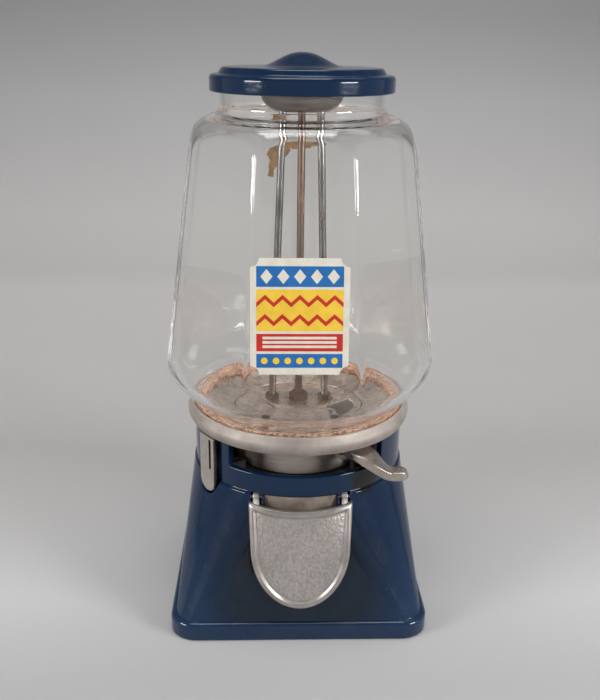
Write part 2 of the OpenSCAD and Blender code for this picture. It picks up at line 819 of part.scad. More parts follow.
module coin_dog() {
    reach = dog_at - drum_r - 0.6;
    color("goldenrod") at_plan(dog_at, dog_angle, dog_z) difference() {
        union() {
            cylinder(r = dog_pin_r + 2.4, h = dog_h);
            linear_extrude(dog_h) polygon([[-3, 0], [3, 0], [1.8, reach], [-1.8, reach]]);
            linear_extrude(dog_h) polygon([[0, -3.4], [dog_reach, -1.5], [dog_reach, 1.5], [0, 3.4]]);
        }
        translate([0, 0, -1]) cylinder(r = dog_pin_r + FIT, h = dog_h + 2);
    }
}

module dog_pin() {
    color("gainsboro") at_plan(dog_at, dog_angle, floor_z) {
        cylinder(r = dog_pin_r, h = dog_z + dog_h + 1.5 - floor_z);
        translate([0, 0, floor_t]) cylinder(r = dog_pin_r + 2.4, h = dog_z - floor_top - SLIP);
        translate([0, 0, dog_z + dog_h + SLIP - floor_z]) cylinder(r = dog_pin_r + 1.6, h = 1.6);
    }
}

// Hinge pin, stop and spring

module flap_pin() {
    color("gainsboro") translate([-pin_half, hinge_y, hinge_z]) rotate([0, 90, 0])
        cylinder(r = pin_r, h = 2 * pin_half);
}

module stop_post() {
    color("gainsboro") at_plan(stop_at, stop_angle, floor_z) {
        cylinder(r = stop_r - 1 - FIT, h = floor_t + EPS);
        translate([0, 0, floor_t]) cylinder(r = stop_r, h = lever_z - 1 - floor_top);
    }
}

module spring_post() {
    color("gainsboro") at_plan(spring_out + post_r + FIT, 180, spring_z - 0.5)
        cylinder(r = post_r, h = floor_top - spring_z - 0.5);
}

module return_spring() {
    steps = 24;
    last = spring_turns * steps;
    function coil(i, r) = polar(r + spring_pitch * i / steps, 180 + 360 * i / steps);
    color("slategray") translate([0, 0, spring_z]) linear_extrude(spring_h)
        polygon(concat([for (i = [0:last]) coil(i, spring_in)],
                       [for (i = [last:-1:0]) coil(i, spring_in - spring_t)]));
}

// Lever and measuring drum

// Side view of the lever bar, as points from the root to the handle's end
function lever_side(top) =
    let (x0 = handle_root_x - 7, x1 = handle_reach - 6.5, z0 = lever_z + (top ? lever_t : 0))
    concat([[-FAR, z0]],
           [for (i = [0:12]) [x0 + (x1 - x0) * i / 12, z0 - lever_drop * (1 - cos(180 * i / 12)) / 2]],
           [[handle_reach + 2, z0 - lever_drop + 0.6], [handle_reach + 5, z0 - lever_drop + 2.2],
            [FAR, z0 - lever_drop + 4]]);

module lever() {
    a0 = lever_angle - lever_root_angle / 2;
    a1 = lever_angle + lever_root_angle / 2;
    side_bottom = lever_side(false);
    end_half = handle_w / 2;
    end_r = 3;
    end_x = handle_reach + 5.5 - end_r;
    root_left = polar(lever_out - 1.5, a0);
    root_right = polar(lever_out - 1.5, a1);
    color("silver")
    difference() {
        intersection() {
            linear_extrude(FAR) union() {
                polygon(concat([for (i = [0:8]) polar(lever_in, a0 + (a1 - a0) * i / 8)],
                               [root_right, polar(lever_in, a1)]));
                polygon(concat([for (i = [8:-1:0]) polar(lever_in, a0 + (a1 - a0) * i / 8)],
                               [root_left, root_right]));
                polygon(concat([polar(lever_in + 4, lever_angle), root_left,
                                root_left + [lever_bend, -3.4]],
                               arc([end_x, handle_y - end_half + end_r], end_r, -90, 0, 5),
                               arc([end_x, handle_y + end_half - end_r], end_r, 0, 90, 5),
                               [[handle_root_x + lever_bend, handle_y + end_half + 1.6],
                                root_right + [1.6, -0.8], root_right]));
            }
            translate([0, FAR, 0]) rotate([90, 0, 0]) linear_extrude(2 * FAR)
                polygon(concat(lever_side(true), [for (i = [len(side_bottom) - 1:-1:0]) side_bottom[i]]));
        }
        for (r = lever_screw_r) at_plan(r, lever_angle) cylinder(r = screw_r + 0.1, h = FAR);
    }
}

module measuring_drum() {
    a0 = lever_angle - lever_root_angle / 2;
    a1 = lever_angle + lever_root_angle / 2;
    color("lightgray")
    difference() {
        union() {
            translate([0, 0, drum_z]) cylinder(r = drum_r, h = drum_h);
            translate([0, 0, lever_z - seat_h]) sector(drum_r - 1, seat_out, a0, a1, seat_h);
        }
        translate([0, 0, drum_z - 1]) {
            cylinder(r = bush_r + FIT, h = drum_h + 2);
            sector(chamber_in, chamber_out, chamber_rest - chamber_angle / 2,
                   chamber_rest + chamber_angle / 2, drum_h + 2);
        }
        for (r = lever_screw_r) at_plan(r, lever_angle, lever_z - seat_h - 1)
            cylinder(r = screw_r + FIT, h = seat_h + 2);
    }
}

module drum_bush() {
    color("goldenrod") translate([0, 0, bush_bottom]) difference() {
        cylinder(r = bush_r, h = cover_z - SLIP - bush_bottom);
        translate([0, 0, -1]) cylinder(r = rod_r + FIT, h = FAR);
    }
}

module lever_screws() {
    color("gainsboro") for (r = lever_screw_r) at_plan(r, lever_angle, lever_z + lever_t) {
        cylinder(r = 2.8, h = 1.8);
        translate([0, 0, -lever_t - seat_h]) cylinder(r = screw_r, h = lever_t + seat_h + EPS);
    }
}

// Delivery flap

// Outline of the flap as a front view, moved in by a distance
module flap_outline(inset) {
    w = flap_w / 2 - inset;
    waist = flap_waist / 2 - inset;
    low = flap_waist_z - flap_bottom - inset;
    top = flap_top - inset * 1.1;
    polygon(concat(
        [for (i = [0:12]) let (x = -w + 2 * w * i / 12) [x, top - flap_dip * (1 - pow(x / w, 2))]],
        [for (i = [0:24]) [waist * cos(-180 * i / 24), flap_waist_z + low * sin(-180 * i / 24)]]));
}

module flap() {
    arm_y = flap_gap + flap_t - 0.5;
    arm_at = [for (z = [flap_top - 1.9, flap_top - 4.7]) [-body_front(ear_x + ear_w / 2, z, arm_y), z]];
    color("silver")
    difference() {
        union() {
            difference() {
                intersection() {
                    front_run(-FAR, -40) flap_outline(0);
                    body_form(flap_gap + flap_t);
                }
                body_form(flap_gap);
                difference() {
                    front_run(-FAR, -40) flap_outline(flap_rim);
                    body_form(flap_gap + flap_t - flap_sink);
                }
            }
            for (side = [-1, 1]) translate([side * ear_x - ear_w / 2, 0, 0]) {
                translate([0, hinge_y, hinge_z]) rotate([0, 90, 0]) cylinder(r = ear_r, h = ear_w);
                rotate([90, 0, 90]) linear_extrude(ear_w)
                    polygon([[hinge_y - ear_r * 0.88, hinge_z + ear_r * 0.46], arm_at[0], arm_at[1],
                             [hinge_y + ear_r * 0.2, hinge_z - ear_r * 0.97]]);
            }
        }
        translate([-FAR / 2, hinge_y, hinge_z]) rotate([0, 90, 0]) cylinder(r = pin_r + FIT, h = FAR);
    }
}

// Lid

module lid() {
    rim_z = z_mouth - lid_skirt;
    plate_z = rim_z + lid_rim_h + lid_step_h;
    rim_r = lid_d / 2;
    plate_r = lid_plate_d / 2;
    dome_r = dome_d / 2;
    edge = 2.6;
    steps = 12;
    function bell(t) = (1 + cos(180 * pow(t, 1.15))) / 2;
    dome = [for (i = [steps:-1:0]) [dome_r * i / steps, plate_z + dome_h * bell(i / steps)]];
    skirt_in = neck_d / 2 + lid_gap;
    inner_r = dome_r - 5;
    color("midnightblue")
    rotate_extrude() polygon(concat(
        [[skirt_in, z_mouth], [skirt_in, rim_z], [rim_r - 0.8, rim_z], [rim_r, rim_z + 0.8]],
        arc([rim_r - edge, rim_z + lid_rim_h - edge], edge, 0, 70, 6),
        [[plate_r + 2.4, rim_z + lid_rim_h], [plate_r + 0.6, rim_z + lid_rim_h + 0.7]],
        arc([plate_r - edge, plate_z - edge - 0.4], edge, 20, 84, 5),
        dome,
        [[0, z_mouth + 10], [rod_r + FIT + 0.1, z_mouth + 10], [rod_r + FIT + 0.1, z_mouth + 1],
         [rod_r + 5, z_mouth + 1], [rod_r + 6, plate_z - lid_wall + 1],
         [inner_r, plate_z - lid_wall], [skirt_in - 8, plate_z - lid_wall], [skirt_in - 8, z_mouth]]));
}

// Rear lock

// Puts its children on the lock's axis at a distance behind the machine's axis, with +Z pointing outward
module on_lock(y) {
    translate([0, y, lock_z]) rotate([-90, 0, 0]) children();
}

module lock_barrel() {
    color("silver") difference() {
        union() {
            on_lock(lock_end) cylinder(r = lock_r, h = lock_face - lock_end + 1);
            on_lock(lock_face) cylinder(r = lock_flange_r, h = lock_flange_t);
        }
        on_lock(0) cylinder(r = lock_plug_r + FIT, h = FAR);
    }
}

module lock_nut() {
    color("silver") on_lock(lock_back - lock_nut_t) difference() {
        cylinder(r = lock_pad_r - 0.4, h = lock_nut_t, $fn = 6);
        translate([0, 0, -1]) cylinder(r = lock_r + FIT, h = lock_nut_t + 2);
    }
}

module lock_plug() {
    color("gainsboro") difference() {
        on_lock(lock_end - SLIP) cylinder(r = lock_plug_r, h = lock_face + lock_flange_t - lock_end);
        on_lock(lock_face - 6) translate([-0.9, -lock_plug_r * 0.62, 0]) cube([1.8, lock_plug_r * 1.24, 20]);
        on_lock(lock_end - SLIP - 1) cylinder(r = 1.6 + FIT, h = 9);
    }
}

module lock_cam() {
    color("silver") on_lock(lock_end - SLIP - cam_t) difference() {
        linear_extrude(cam_t) union() {
            circle(cam_w / 2);
            translate([-cam_w / 4, -cam_l]) square([cam_w / 2, cam_l]);
        }
        translate([0, 0, -1]) cylinder(r = 1.6 + FIT, h = cam_t + 2);
    }
}

module cam_screw() {
    color("gainsboro") {
        on_lock(lock_end - SLIP - cam_t - 2) cylinder(r = 3.6, h = 2);
        on_lock(lock_end - SLIP - cam_t - EPS) cylinder(r = 1.6, h = cam_t + 6);
    }
}

module lock_keeper() {
    top = lock_z - cam_w / 4 - 0.8;
    color("gainsboro") {
        translate([keeper_x, keeper_y - keeper_w / 2, floor_top]) cube([keeper_w, keeper_w, top - floor_top]);
        translate([keeper_x + keeper_w / 2, keeper_y, floor_z]) cylinder(r = 1, h = floor_t + EPS);
    }
}

base_casting();
base_plate();
base_plate_screws();
delivery_chute();
chute_screws();
flap_pin();
lock_barrel();
lock_nut();
hopper_ring();
hopper_pillars();
floor_plate();
floor_screws();
cork_gasket();
glass_globe();
drum_cover();
cover_screws();
wiper_strip();
centre_rod();
side_rods();
rod_nuts();
rod_yoke();
coin_plate();
coin_track();
stop_post();
dog_pin();
spring_post();
return_spring();
lock_keeper();
lever();
measuring_drum();
drum_bush();
lever_screws();
flap();
lid();
coin_dog();
lock_plug();
lock_cam();
cam_screw();
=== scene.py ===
"""Looks of a counter-top nut vendor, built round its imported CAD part.

Lengths inside the builders are millimetres in the part's own frame: +Z up, the front faces -Y. Materials,
the sweep, the lamps and the camera are in metres.
"""

import functools
import math

import bmesh
import bpy
import numpy as np
from bpy.props import FloatProperty, IntProperty, PointerProperty
from mathutils import Matrix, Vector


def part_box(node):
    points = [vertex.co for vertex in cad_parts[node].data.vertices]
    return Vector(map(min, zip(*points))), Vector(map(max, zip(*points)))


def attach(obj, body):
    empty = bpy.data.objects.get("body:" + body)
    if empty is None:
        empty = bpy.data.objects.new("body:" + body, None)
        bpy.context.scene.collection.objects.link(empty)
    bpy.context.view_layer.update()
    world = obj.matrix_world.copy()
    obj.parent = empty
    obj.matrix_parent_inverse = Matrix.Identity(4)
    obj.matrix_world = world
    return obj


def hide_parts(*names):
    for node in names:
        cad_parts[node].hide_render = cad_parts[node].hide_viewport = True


bl_info = {
    "name": "Nut vendor looks",
    "version": (1, 0, 0),
    "blender": (4, 5, 0),
    "location": "View3D > Sidebar > Vendor",
    "description": "Builds the glass, castings, paint and stage of a counter-top nut vendor",
    "category": "Object",
}

MM = 0.001

# Driving sizes that the CAD part shares, in millimetres. Heights on the globe are above the glass foot.

FOOT_TOP = 12.0
BODY_TOP = 95.0
BODY_ROUND = 70.2
BODY_CORNER = 16.3
BODY_FLAT = 63.3
GLOBE_TALL = 202.0
GLOBE_FOOT = 67.0
GLOBE_NECK = 50.4
CHIN_UP = 36.0
CHIN_ACROSS = 166.8
SHOULDER_UP = 162.4
SHOULDER_ACROSS = 135.0

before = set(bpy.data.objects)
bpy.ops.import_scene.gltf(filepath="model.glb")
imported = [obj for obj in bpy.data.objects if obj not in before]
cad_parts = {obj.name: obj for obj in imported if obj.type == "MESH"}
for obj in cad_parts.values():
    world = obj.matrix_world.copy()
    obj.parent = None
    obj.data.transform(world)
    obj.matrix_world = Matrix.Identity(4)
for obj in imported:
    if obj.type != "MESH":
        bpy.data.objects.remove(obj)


# Grids and profiles


def grid_faces(rows, cols, closed):
    """Quads of a grid whose columns run round and whose rows close on themselves if asked."""
    r = np.arange(rows if closed else rows - 1)[:, None]
    c = np.arange(cols)[None, :]
    r1, c1 = (r + 1) % rows, (c + 1) % cols
    quads = np.stack([r * cols + c, r * cols + c1, r1 * cols + c1, r1 * cols + c], -1)
    return quads.reshape(-1, 4).tolist()


def capped(loops, start, end):
    """Closes a stack of loops (rows, cols, 3) with one pole at each end; returns points and faces."""
    rows, cols = loops.shape[:2]
    points = np.concatenate([loops.reshape(-1, 3), [start, end]])
    here = np.arange(cols)
    there = (here + 1) % cols
    last = (rows - 1) * cols
    first_fan = np.stack([np.full(cols, rows * cols), there, here], -1)
    last_fan = np.stack([last + here, last + there, np.full(cols, rows * cols + 1)], -1)
    faces = grid_faces(rows, cols, False) + first_fan.tolist() + last_fan.tolist()
    return points, faces


def filleted(corners, steps):
    """Open path through corners (x, y, radius): each corner becomes an arc that touches both its edges.

    A support point stands on the straight run beside each arc, so that the run stays flat when shaded. An arc
    takes up less than half of either edge, and a corner that is nearly straight stays a point.
    """
    nearly_straight, most_of_edge, support, support_share = 1.55, 0.45, 0.2, 0.05
    at = np.array([c[:2] for c in corners], float)
    path = [at[0]]
    for i in range(1, len(corners) - 1):
        radius = corners[i][2]
        a, b = at[i - 1] - at[i], at[i + 1] - at[i]
        la, lb = np.linalg.norm(a), np.linalg.norm(b)
        a, b = a / la, b / lb
        half = math.acos(float(np.clip(a @ b, -1, 1))) / 2
        if radius <= 0 or half > nearly_straight:
            path.append(at[i])
            continue
        run = min(radius / math.tan(half), most_of_edge * la, most_of_edge * lb)
        radius = run * math.tan(half)
        middle = at[i] + (a + b) / np.linalg.norm(a + b) * radius / math.sin(half)
        u, v = (at[i] + a * run - middle) / radius, (at[i] + b * run - middle) / radius
        turn = math.pi - 2 * half
        t = np.linspace(0, 1, steps + 1)[:, None]
        bow = middle + radius * (np.sin((1 - t) * turn) * u + np.sin(t * turn) * v) / math.sin(turn)
        before = at[i] + a * (run + min(support, support_share * la))
        after = at[i] + b * (run + min(support, support_share * lb))
        path += [before, *bow, after]
    path.append(at[-1])
    return np.array(path)


def arc(middle, radius, start, end, count):
    """Points of a circle between two angles in degrees."""
    turn = np.radians(np.linspace(start, end, count))
    return np.stack([middle[0] + radius * np.cos(turn), middle[1] + radius * np.sin(turn)], -1)


def full_turn(count):
    """Angles of one turn in even steps."""
    return np.linspace(0, 2 * np.pi, count, endpoint=False)


def lathe(profile, count):
    """Turns a profile of (radius, height) rows round the Z axis, starting at the front."""
    turn = full_turn(count)
    r, z = profile[:, 0, None], profile[:, 1, None]
    return np.stack([r * np.sin(turn), -r * np.cos(turn), np.broadcast_to(z, (len(profile), count))], -1)


def distances(path):
    """Length of a path from its start to each of its points."""
    return np.concatenate([[0], np.cumsum(np.linalg.norm(np.diff(path, axis=0), axis=1))])


def resample(path, count):
    """Points at even steps along a path."""
    far = distances(path)
    at = np.linspace(0, far[-1], count)
    return np.stack([np.interp(at, far, path[:, k]) for k in range(path.shape[1])], -1)


def heading(path):
    """Unit direction of a path at each of its points."""
    along = np.gradient(path, axis=0)
    return along / np.linalg.norm(along, axis=1, keepdims=True)


def superellipse(width, height, power, count):
    """Closed rounded-rectangle section: cosine and sine of a full turn raised to two over the power."""
    t = full_turn(count)
    unit = np.stack([np.cos(t), np.sin(t)], -1)
    return np.array([width / 2, height / 2]) * (np.sign(unit) * np.abs(unit) ** (2 / power))


def swept(path, sides, ups, section, widths, heights):
    """Carries a unit section along a path: each row is the path's point plus the section in its own axes."""
    a = section[None, :, 0, None] * widths[:, None, None] * sides[:, None, :]
    b = section[None, :, 1, None] * heights[:, None, None] * ups[:, None, :]
    return path[:, None, :] + a + b


def waves(u, v, seeds):
    """Smooth fixed unevenness: the mean of sines, each given as (rate along u, rate along v, start)."""
    total = sum(np.sin(a * u + b * v + c) for a, b, c in seeds)
    return total / len(seeds)


def joined(parts):
    """Several (points, faces) shells as one."""
    points, faces, offset = [], [], 0
    for p, f in parts:
        points.append(p.reshape(-1, 3))
        faces += [[i + offset for i in face] for face in f]
        offset += len(points[-1])
    return np.concatenate(points), faces


# Pieces


def added(name, data):
    """New object at the origin, linked to the scene."""
    obj = bpy.data.objects.new(name, data)
    bpy.context.scene.collection.objects.link(obj)
    return obj


def smooth(mesh):
    """Shades every face of a mesh smooth."""
    mesh.polygons.foreach_set("use_smooth", np.ones(len(mesh.polygons), bool))


def piece(name, points, faces, body, materials, nodes=(), face_slots=None, sharp=None):
    """Puts points in millimetres and faces into a smooth mesh that rides on a CAD body.

    Edges that turn by more than the sharp angle, in degrees, stay hard.
    """
    mesh = bpy.data.meshes.new(name)
    mesh.from_pydata((points.reshape(-1, 3) * MM).tolist(), [], faces)
    smooth(mesh)
    for material in materials:
        mesh.materials.append(look(material))
    if face_slots is not None:
        mesh.polygons.foreach_set("material_index", np.asarray(face_slots, np.int32))
    if sharp:
        mesh.set_sharp_from_angle(angle=math.radians(sharp))
    mesh.update()
    obj = added(name, mesh)
    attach(obj, body)
    if nodes:
        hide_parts(*nodes)


def softened(node, body, material, width, segments, angle, side=None, above=0.0):
    """A welded copy of a CAD node with its hard edges rounded off and its curved faces shaded smooth.

    A side, given as a direction and a material, finishes the faces that point that way differently. Edges
    that reach below a height stay as the CAD rounds them.
    """
    weld, flat, facing_side, corner_weight = 2e-6, 0.03, 0.9, 60
    mesh = bpy.data.meshes.new(node + "_soft")
    work = bmesh.new()
    work.from_mesh(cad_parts[node].data)
    bmesh.ops.remove_doubles(work, verts=work.verts, dist=weld)
    bmesh.ops.dissolve_limit(work, angle_limit=math.radians(flat), verts=work.verts, edges=work.edges)
    work.to_mesh(mesh)
    work.free()
    if "custom_normal" in mesh.attributes:
        mesh.attributes.remove(mesh.attributes["custom_normal"])
    mesh.materials.clear()
    mesh.materials.append(look(material))
    smooth(mesh)
    mesh.set_sharp_from_angle(angle=math.radians(angle))
    if side:
        normals = np.empty(3 * len(mesh.polygons))
        mesh.polygons.foreach_get("normal", normals)
        chosen = normals.reshape(-1, 3) @ side[0] > facing_side
        mesh.materials.append(look(side[1]))
        mesh.polygons.foreach_set("material_index", chosen.astype(np.int32))
    ends = np.empty(2 * len(mesh.edges), np.int32)
    mesh.edges.foreach_get("vertices", ends)
    places = np.empty(3 * len(mesh.vertices))
    mesh.vertices.foreach_get("co", places)
    hard = np.zeros(len(mesh.edges), bool)
    mesh.attributes["sharp_edge"].data.foreach_get("value", hard)
    hard &= places[2::3][ends].reshape(-1, 2).min(1) >= above * MM
    weights = mesh.attributes.new("bevel_weight_edge", "FLOAT", "EDGE")
    weights.data.foreach_set("value", hard.astype(np.float32))
    obj = added(node + "_soft", mesh)
    bevel = obj.modifiers.new("edges", "BEVEL")
    bevel.width = width * MM
    bevel.segments = segments
    bevel.limit_method = "WEIGHT"
    bevel.use_clamp_overlap = False
    bevel.harden_normals = False
    shade = obj.modifiers.new("shade", "WEIGHTED_NORMAL")
    shade.keep_sharp = False
    shade.weight = corner_weight
    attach(obj, body)
    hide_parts(node)


def dress(material, *nodes):
    """Gives CAD nodes one material."""
    for name in nodes:
        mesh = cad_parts[name].data
        mesh.materials.clear()
        mesh.materials.append(look(material))


# Shader nodes


def fill(node, *inputs, **named):
    """Sets a node's inputs in order or by name, with underscores for spaces; sockets are linked."""
    places = [*enumerate(inputs), *((name.replace("_", " "), value) for name, value in named.items())]
    for place, value in places:
        if isinstance(value, bpy.types.NodeSocket):
            node.id_data.links.new(value, node.inputs[place])
        else:
            node.inputs[place].default_value = value
    return node


def near(socket, kind, *inputs, **named):
    """New node of a kind in a socket's tree, with its inputs filled in."""
    return fill(socket.id_data.nodes.new("ShaderNode" + kind), *inputs, **named)


def shader(name):
    """New material with one Principled shader; returns it, the shader and Object coordinates."""
    material = bpy.data.materials.new(name)
    material.use_nodes = True
    nodes = material.node_tree.nodes
    nodes.clear()
    bsdf = nodes.new("ShaderNodeBsdfPrincipled")
    fill(nodes.new("ShaderNodeOutputMaterial"), Surface=bsdf.outputs["BSDF"])
    return material, bsdf, nodes.new("ShaderNodeTexCoord").outputs["Object"]


def stretched(coord, scale):
    """Coordinates scaled by a different amount along each axis."""
    return near(coord, "Mapping", Vector=coord, Scale=scale).outputs["Vector"]


def axes(coord):
    """Coordinates split into the outputs X, Y and Z."""
    return near(coord, "SeparateXYZ", coord).outputs


def away(coord, point):
    """Distance of coordinates from a point, in metres."""
    node = near(coord, "VectorMath", coord, point)
    node.operation = "DISTANCE"
    return node.outputs["Value"]


def noise(coord, scale, detail, roughness=0.55):
    """Noise value over coordinates in metres."""
    node = near(coord, "TexNoise", Vector=coord, Scale=scale, Detail=detail, Roughness=roughness)
    return node.outputs["Fac"]


def cells(coord, scale, output):
    """Voronoi cells over coordinates in metres."""
    return near(coord, "TexVoronoi", Vector=coord, Scale=scale).outputs[output]


def ramp(value, *stops):
    """Colour ramp through (position, colour) stops; a colour may be one grey value."""
    node = near(value, "ValToRGB", value)
    band = node.color_ramp
    while len(band.elements) < len(stops):
        band.elements.new(0.5)
    for element, (position, colour) in zip(band.elements, stops):
        element.position = position
        element.color = (*np.broadcast_to(colour, 3), 1)
    return node.outputs["Color"]


def mottled(coord, scale, detail, dark, light, low=0.3, high=0.7):
    """Two colours mixed by noise: the first below one value of it, the second above another."""
    return ramp(noise(coord, scale, detail), (low, dark), (high, light))


def remap(value, low, high, to_low, to_high):
    """Clamped linear map of a value."""
    node = near(value, "MapRange", Value=value, From_Min=low, From_Max=high, To_Min=to_low, To_Max=to_high)
    return node.outputs["Result"]


def blend(factor, first, second, kind="MIX"):
    """Mixes or multiplies two colours by a factor."""
    node = near(first, "Mix")
    node.data_type = "RGBA"
    node.blend_type = kind
    return fill(node, Factor=factor, A=first, B=second).outputs["Result"]


def rough_up(bsdf, height, strength, distance):
    """Bump from a height value."""
    node = near(height, "Bump", Strength=strength, Distance=distance, Height=height)
    fill(bsdf, Normal=node.outputs["Normal"])


# Materials


def enamel(name):
    """Glossy stoved paint: two close blues in slow drifts, fine dust specks and a faint orange peel.

    It is painted paler at the foot and far from the axis, as painted light that stands in for the floor's
    reflection on the foot and the side light on the outer walls; darker and greyer round the flap, as painted
    shade; and black in a ragged patch on the collar under the lever's root.
    """
    flap_point, lever_point, ragged_by = (0, -0.075, 0.036), (0.0405, -0.0555, 0.1015), 0.011
    material, bsdf, coord = shader(name)
    paint = mottled(coord, 16, 3, (0.0010, 0.0130, 0.042), (0.0018, 0.0190, 0.060))
    # Paler blue, used as painted light on the foot and on the outer walls.
    pale = mottled(coord, 60, 4, (0.007, 0.024, 0.062), (0.012, 0.032, 0.076))
    # Painted shade colour: a darker, greyer blue for the shade about the flap.
    dull = mottled(coord, 120, 4, (0.004, 0.0095, 0.019), (0.006, 0.0135, 0.025))
    dust = mottled(coord, 90, 2, (0.02, 0.035, 0.06), (0.09, 0.1, 0.12), 0.3, 0.8)
    # Near-black colour of the ragged patch on the collar under the lever's root.
    ragged_black = mottled(coord, 300, 3, 0.004, (0.016, 0.014, 0.013), 0.4, 0.8)
    reach = away(stretched(coord, (1, 1, 0)), (0, 0, 0))
    # Painted light: the walls far from the axis are painted paler, standing in for the side light on them.
    corners = remap(reach, 0.085, 0.102, 0, 0.85)
    # Painted shade: the paint round the flap is darkened where shade falls about the delivery mouth.
    flap_shade = remap(away(coord, flap_point), 0.042, 0.066, 0.9, 0)
    # Painted light: the foot is painted paler, standing in for the floor's light that it reflects.
    foot = remap(axes(coord)["Z"], 0.010, 0.013, 0.9, 0)
    specks = mottled(coord, 520, 2, 0, 1, 0.71, 0.76)
    ragged = near(coord, "Math", noise(coord, 190, 5, 0.65), ragged_by, away(coord, lever_point))
    ragged.operation = "MULTIPLY_ADD"
    patch = remap(ragged.outputs["Value"], 0.0145, 0.0165, 1, 0)
    for mask, colour in ((corners, pale), (flap_shade, dull), (foot, pale), (specks, dust), (patch, ragged_black)):
        paint = blend(mask, paint, colour)
    gloss = remap(noise(coord, 45, 5), 0.3, 0.7, 0.06, 0.13)
    fill(bsdf, Base_Color=paint, Roughness=gloss, Specular_IOR_Level=0.4)
    rough_up(bsdf, noise(coord, 240, 3), 0.15, 0.0004)
    return material


def metal(name, dark, light, rough, grain, depth, bare=1.0, along=None, spots=None):
    """Metal: two tones in cloudy patches, a range of roughness, and a cast or brushed grain as bump.

    Bare is how metallic the face is: a dull oxide skin scatters light like a pale solid. Along stretches the
    pattern. Spots are stains: where the noise starts and ends to show them, and their two tones.
    """
    stained_bare = 0.25
    material, bsdf, coord = shader(name)
    if along:
        coord = stretched(coord, along)
    tone = ramp(noise(coord, 70, 6, 0.65), (0.32, dark), (0.68, light))
    if spots:
        starts, ends, stain_dark, stain_light = spots
        mask = ramp(noise(coord, 130, 6, 0.7), (starts, 0), (ends, 1))
        tone = blend(mask, tone, mottled(coord, 400, 3, stain_dark, stain_light))
        bare = remap(mask, 0, 1, bare, stained_bare)
    fill(bsdf, Base_Color=tone, Metallic=bare, Roughness=remap(noise(coord, 160, 5), 0.3, 0.7, *rough))
    rough_up(bsdf, noise(coord, grain, 3), depth, 0.0004)
    return material


def stippled(name):
    """Sand-cast panel: a leathery stipple, bright on the lumps and dull between."""
    material, bsdf, coord = shader(name)
    lumps = noise(stretched(coord, (1, 1, 0.7)), 620, 3, 0.6)
    tone = ramp(lumps, (0.34, (0.42, 0.38, 0.36)), (0.62, (0.60, 0.55, 0.52)))
    clouds = mottled(coord, 45, 3, (0.86, 0.86, 0.87), 1, 0.35, 0.65)
    tone = blend(1, tone, clouds, "MULTIPLY")
    fill(bsdf, Base_Color=tone, Metallic=0.8, Roughness=remap(lumps, 0.3, 0.7, 0.5, 0.34))
    rough_up(bsdf, lumps, 0.9, 0.0007)
    return material


def pressed_cork(name):
    """Pressed cork: grains of several browns, each a raised cell."""
    grain = 620
    material, bsdf, coord = shader(name)
    single = near(coord, "SeparateColor", cells(coord, grain, "Color")).outputs["Red"]
    browns = ramp(single, (0, (0.13, 0.055, 0.03)), (0.45, (0.34, 0.18, 0.11)), (1, (0.50, 0.315, 0.22)))
    fill(bsdf, Base_Color=browns, Roughness=0.85)
    rough_up(bsdf, cells(coord, grain, "Distance"), 0.7, 0.0008)
    return material


def ink(name, dark, light):
    """Printed ink, paper or leather: one hue with a faint uneven screen."""
    material, bsdf, coord = shader(name)
    fill(bsdf, Base_Color=mottled(coord, 150, 5, dark, light, 0.35, 0.65), Roughness=0.38)
    return material


def clear_glass(name):
    """Clear pressed glass with a faint tint; lamps shine through it to what stands inside."""
    material, bsdf, coord = shader(name)
    tint = mottled(coord, 9, 2, (0.990, 0.987, 0.973), (0.995, 0.991, 0.981))
    fill(bsdf, Base_Color=tint, Roughness=0, IOR=1.5, Transmission_Weight=1)
    rough_up(bsdf, noise(coord, 26, 2), 0.012, 0.002)
    solid = bsdf.outputs["BSDF"]
    out = solid.links[0].to_node
    clear = near(coord, "BsdfTransparent", (0.97, 0.97, 0.965, 1)).outputs["BSDF"]
    shadow = near(coord, "LightPath").outputs["Is Shadow Ray"]
    fill(out, Surface=near(coord, "MixShader", shadow, solid, clear).outputs["Shader"])
    return material


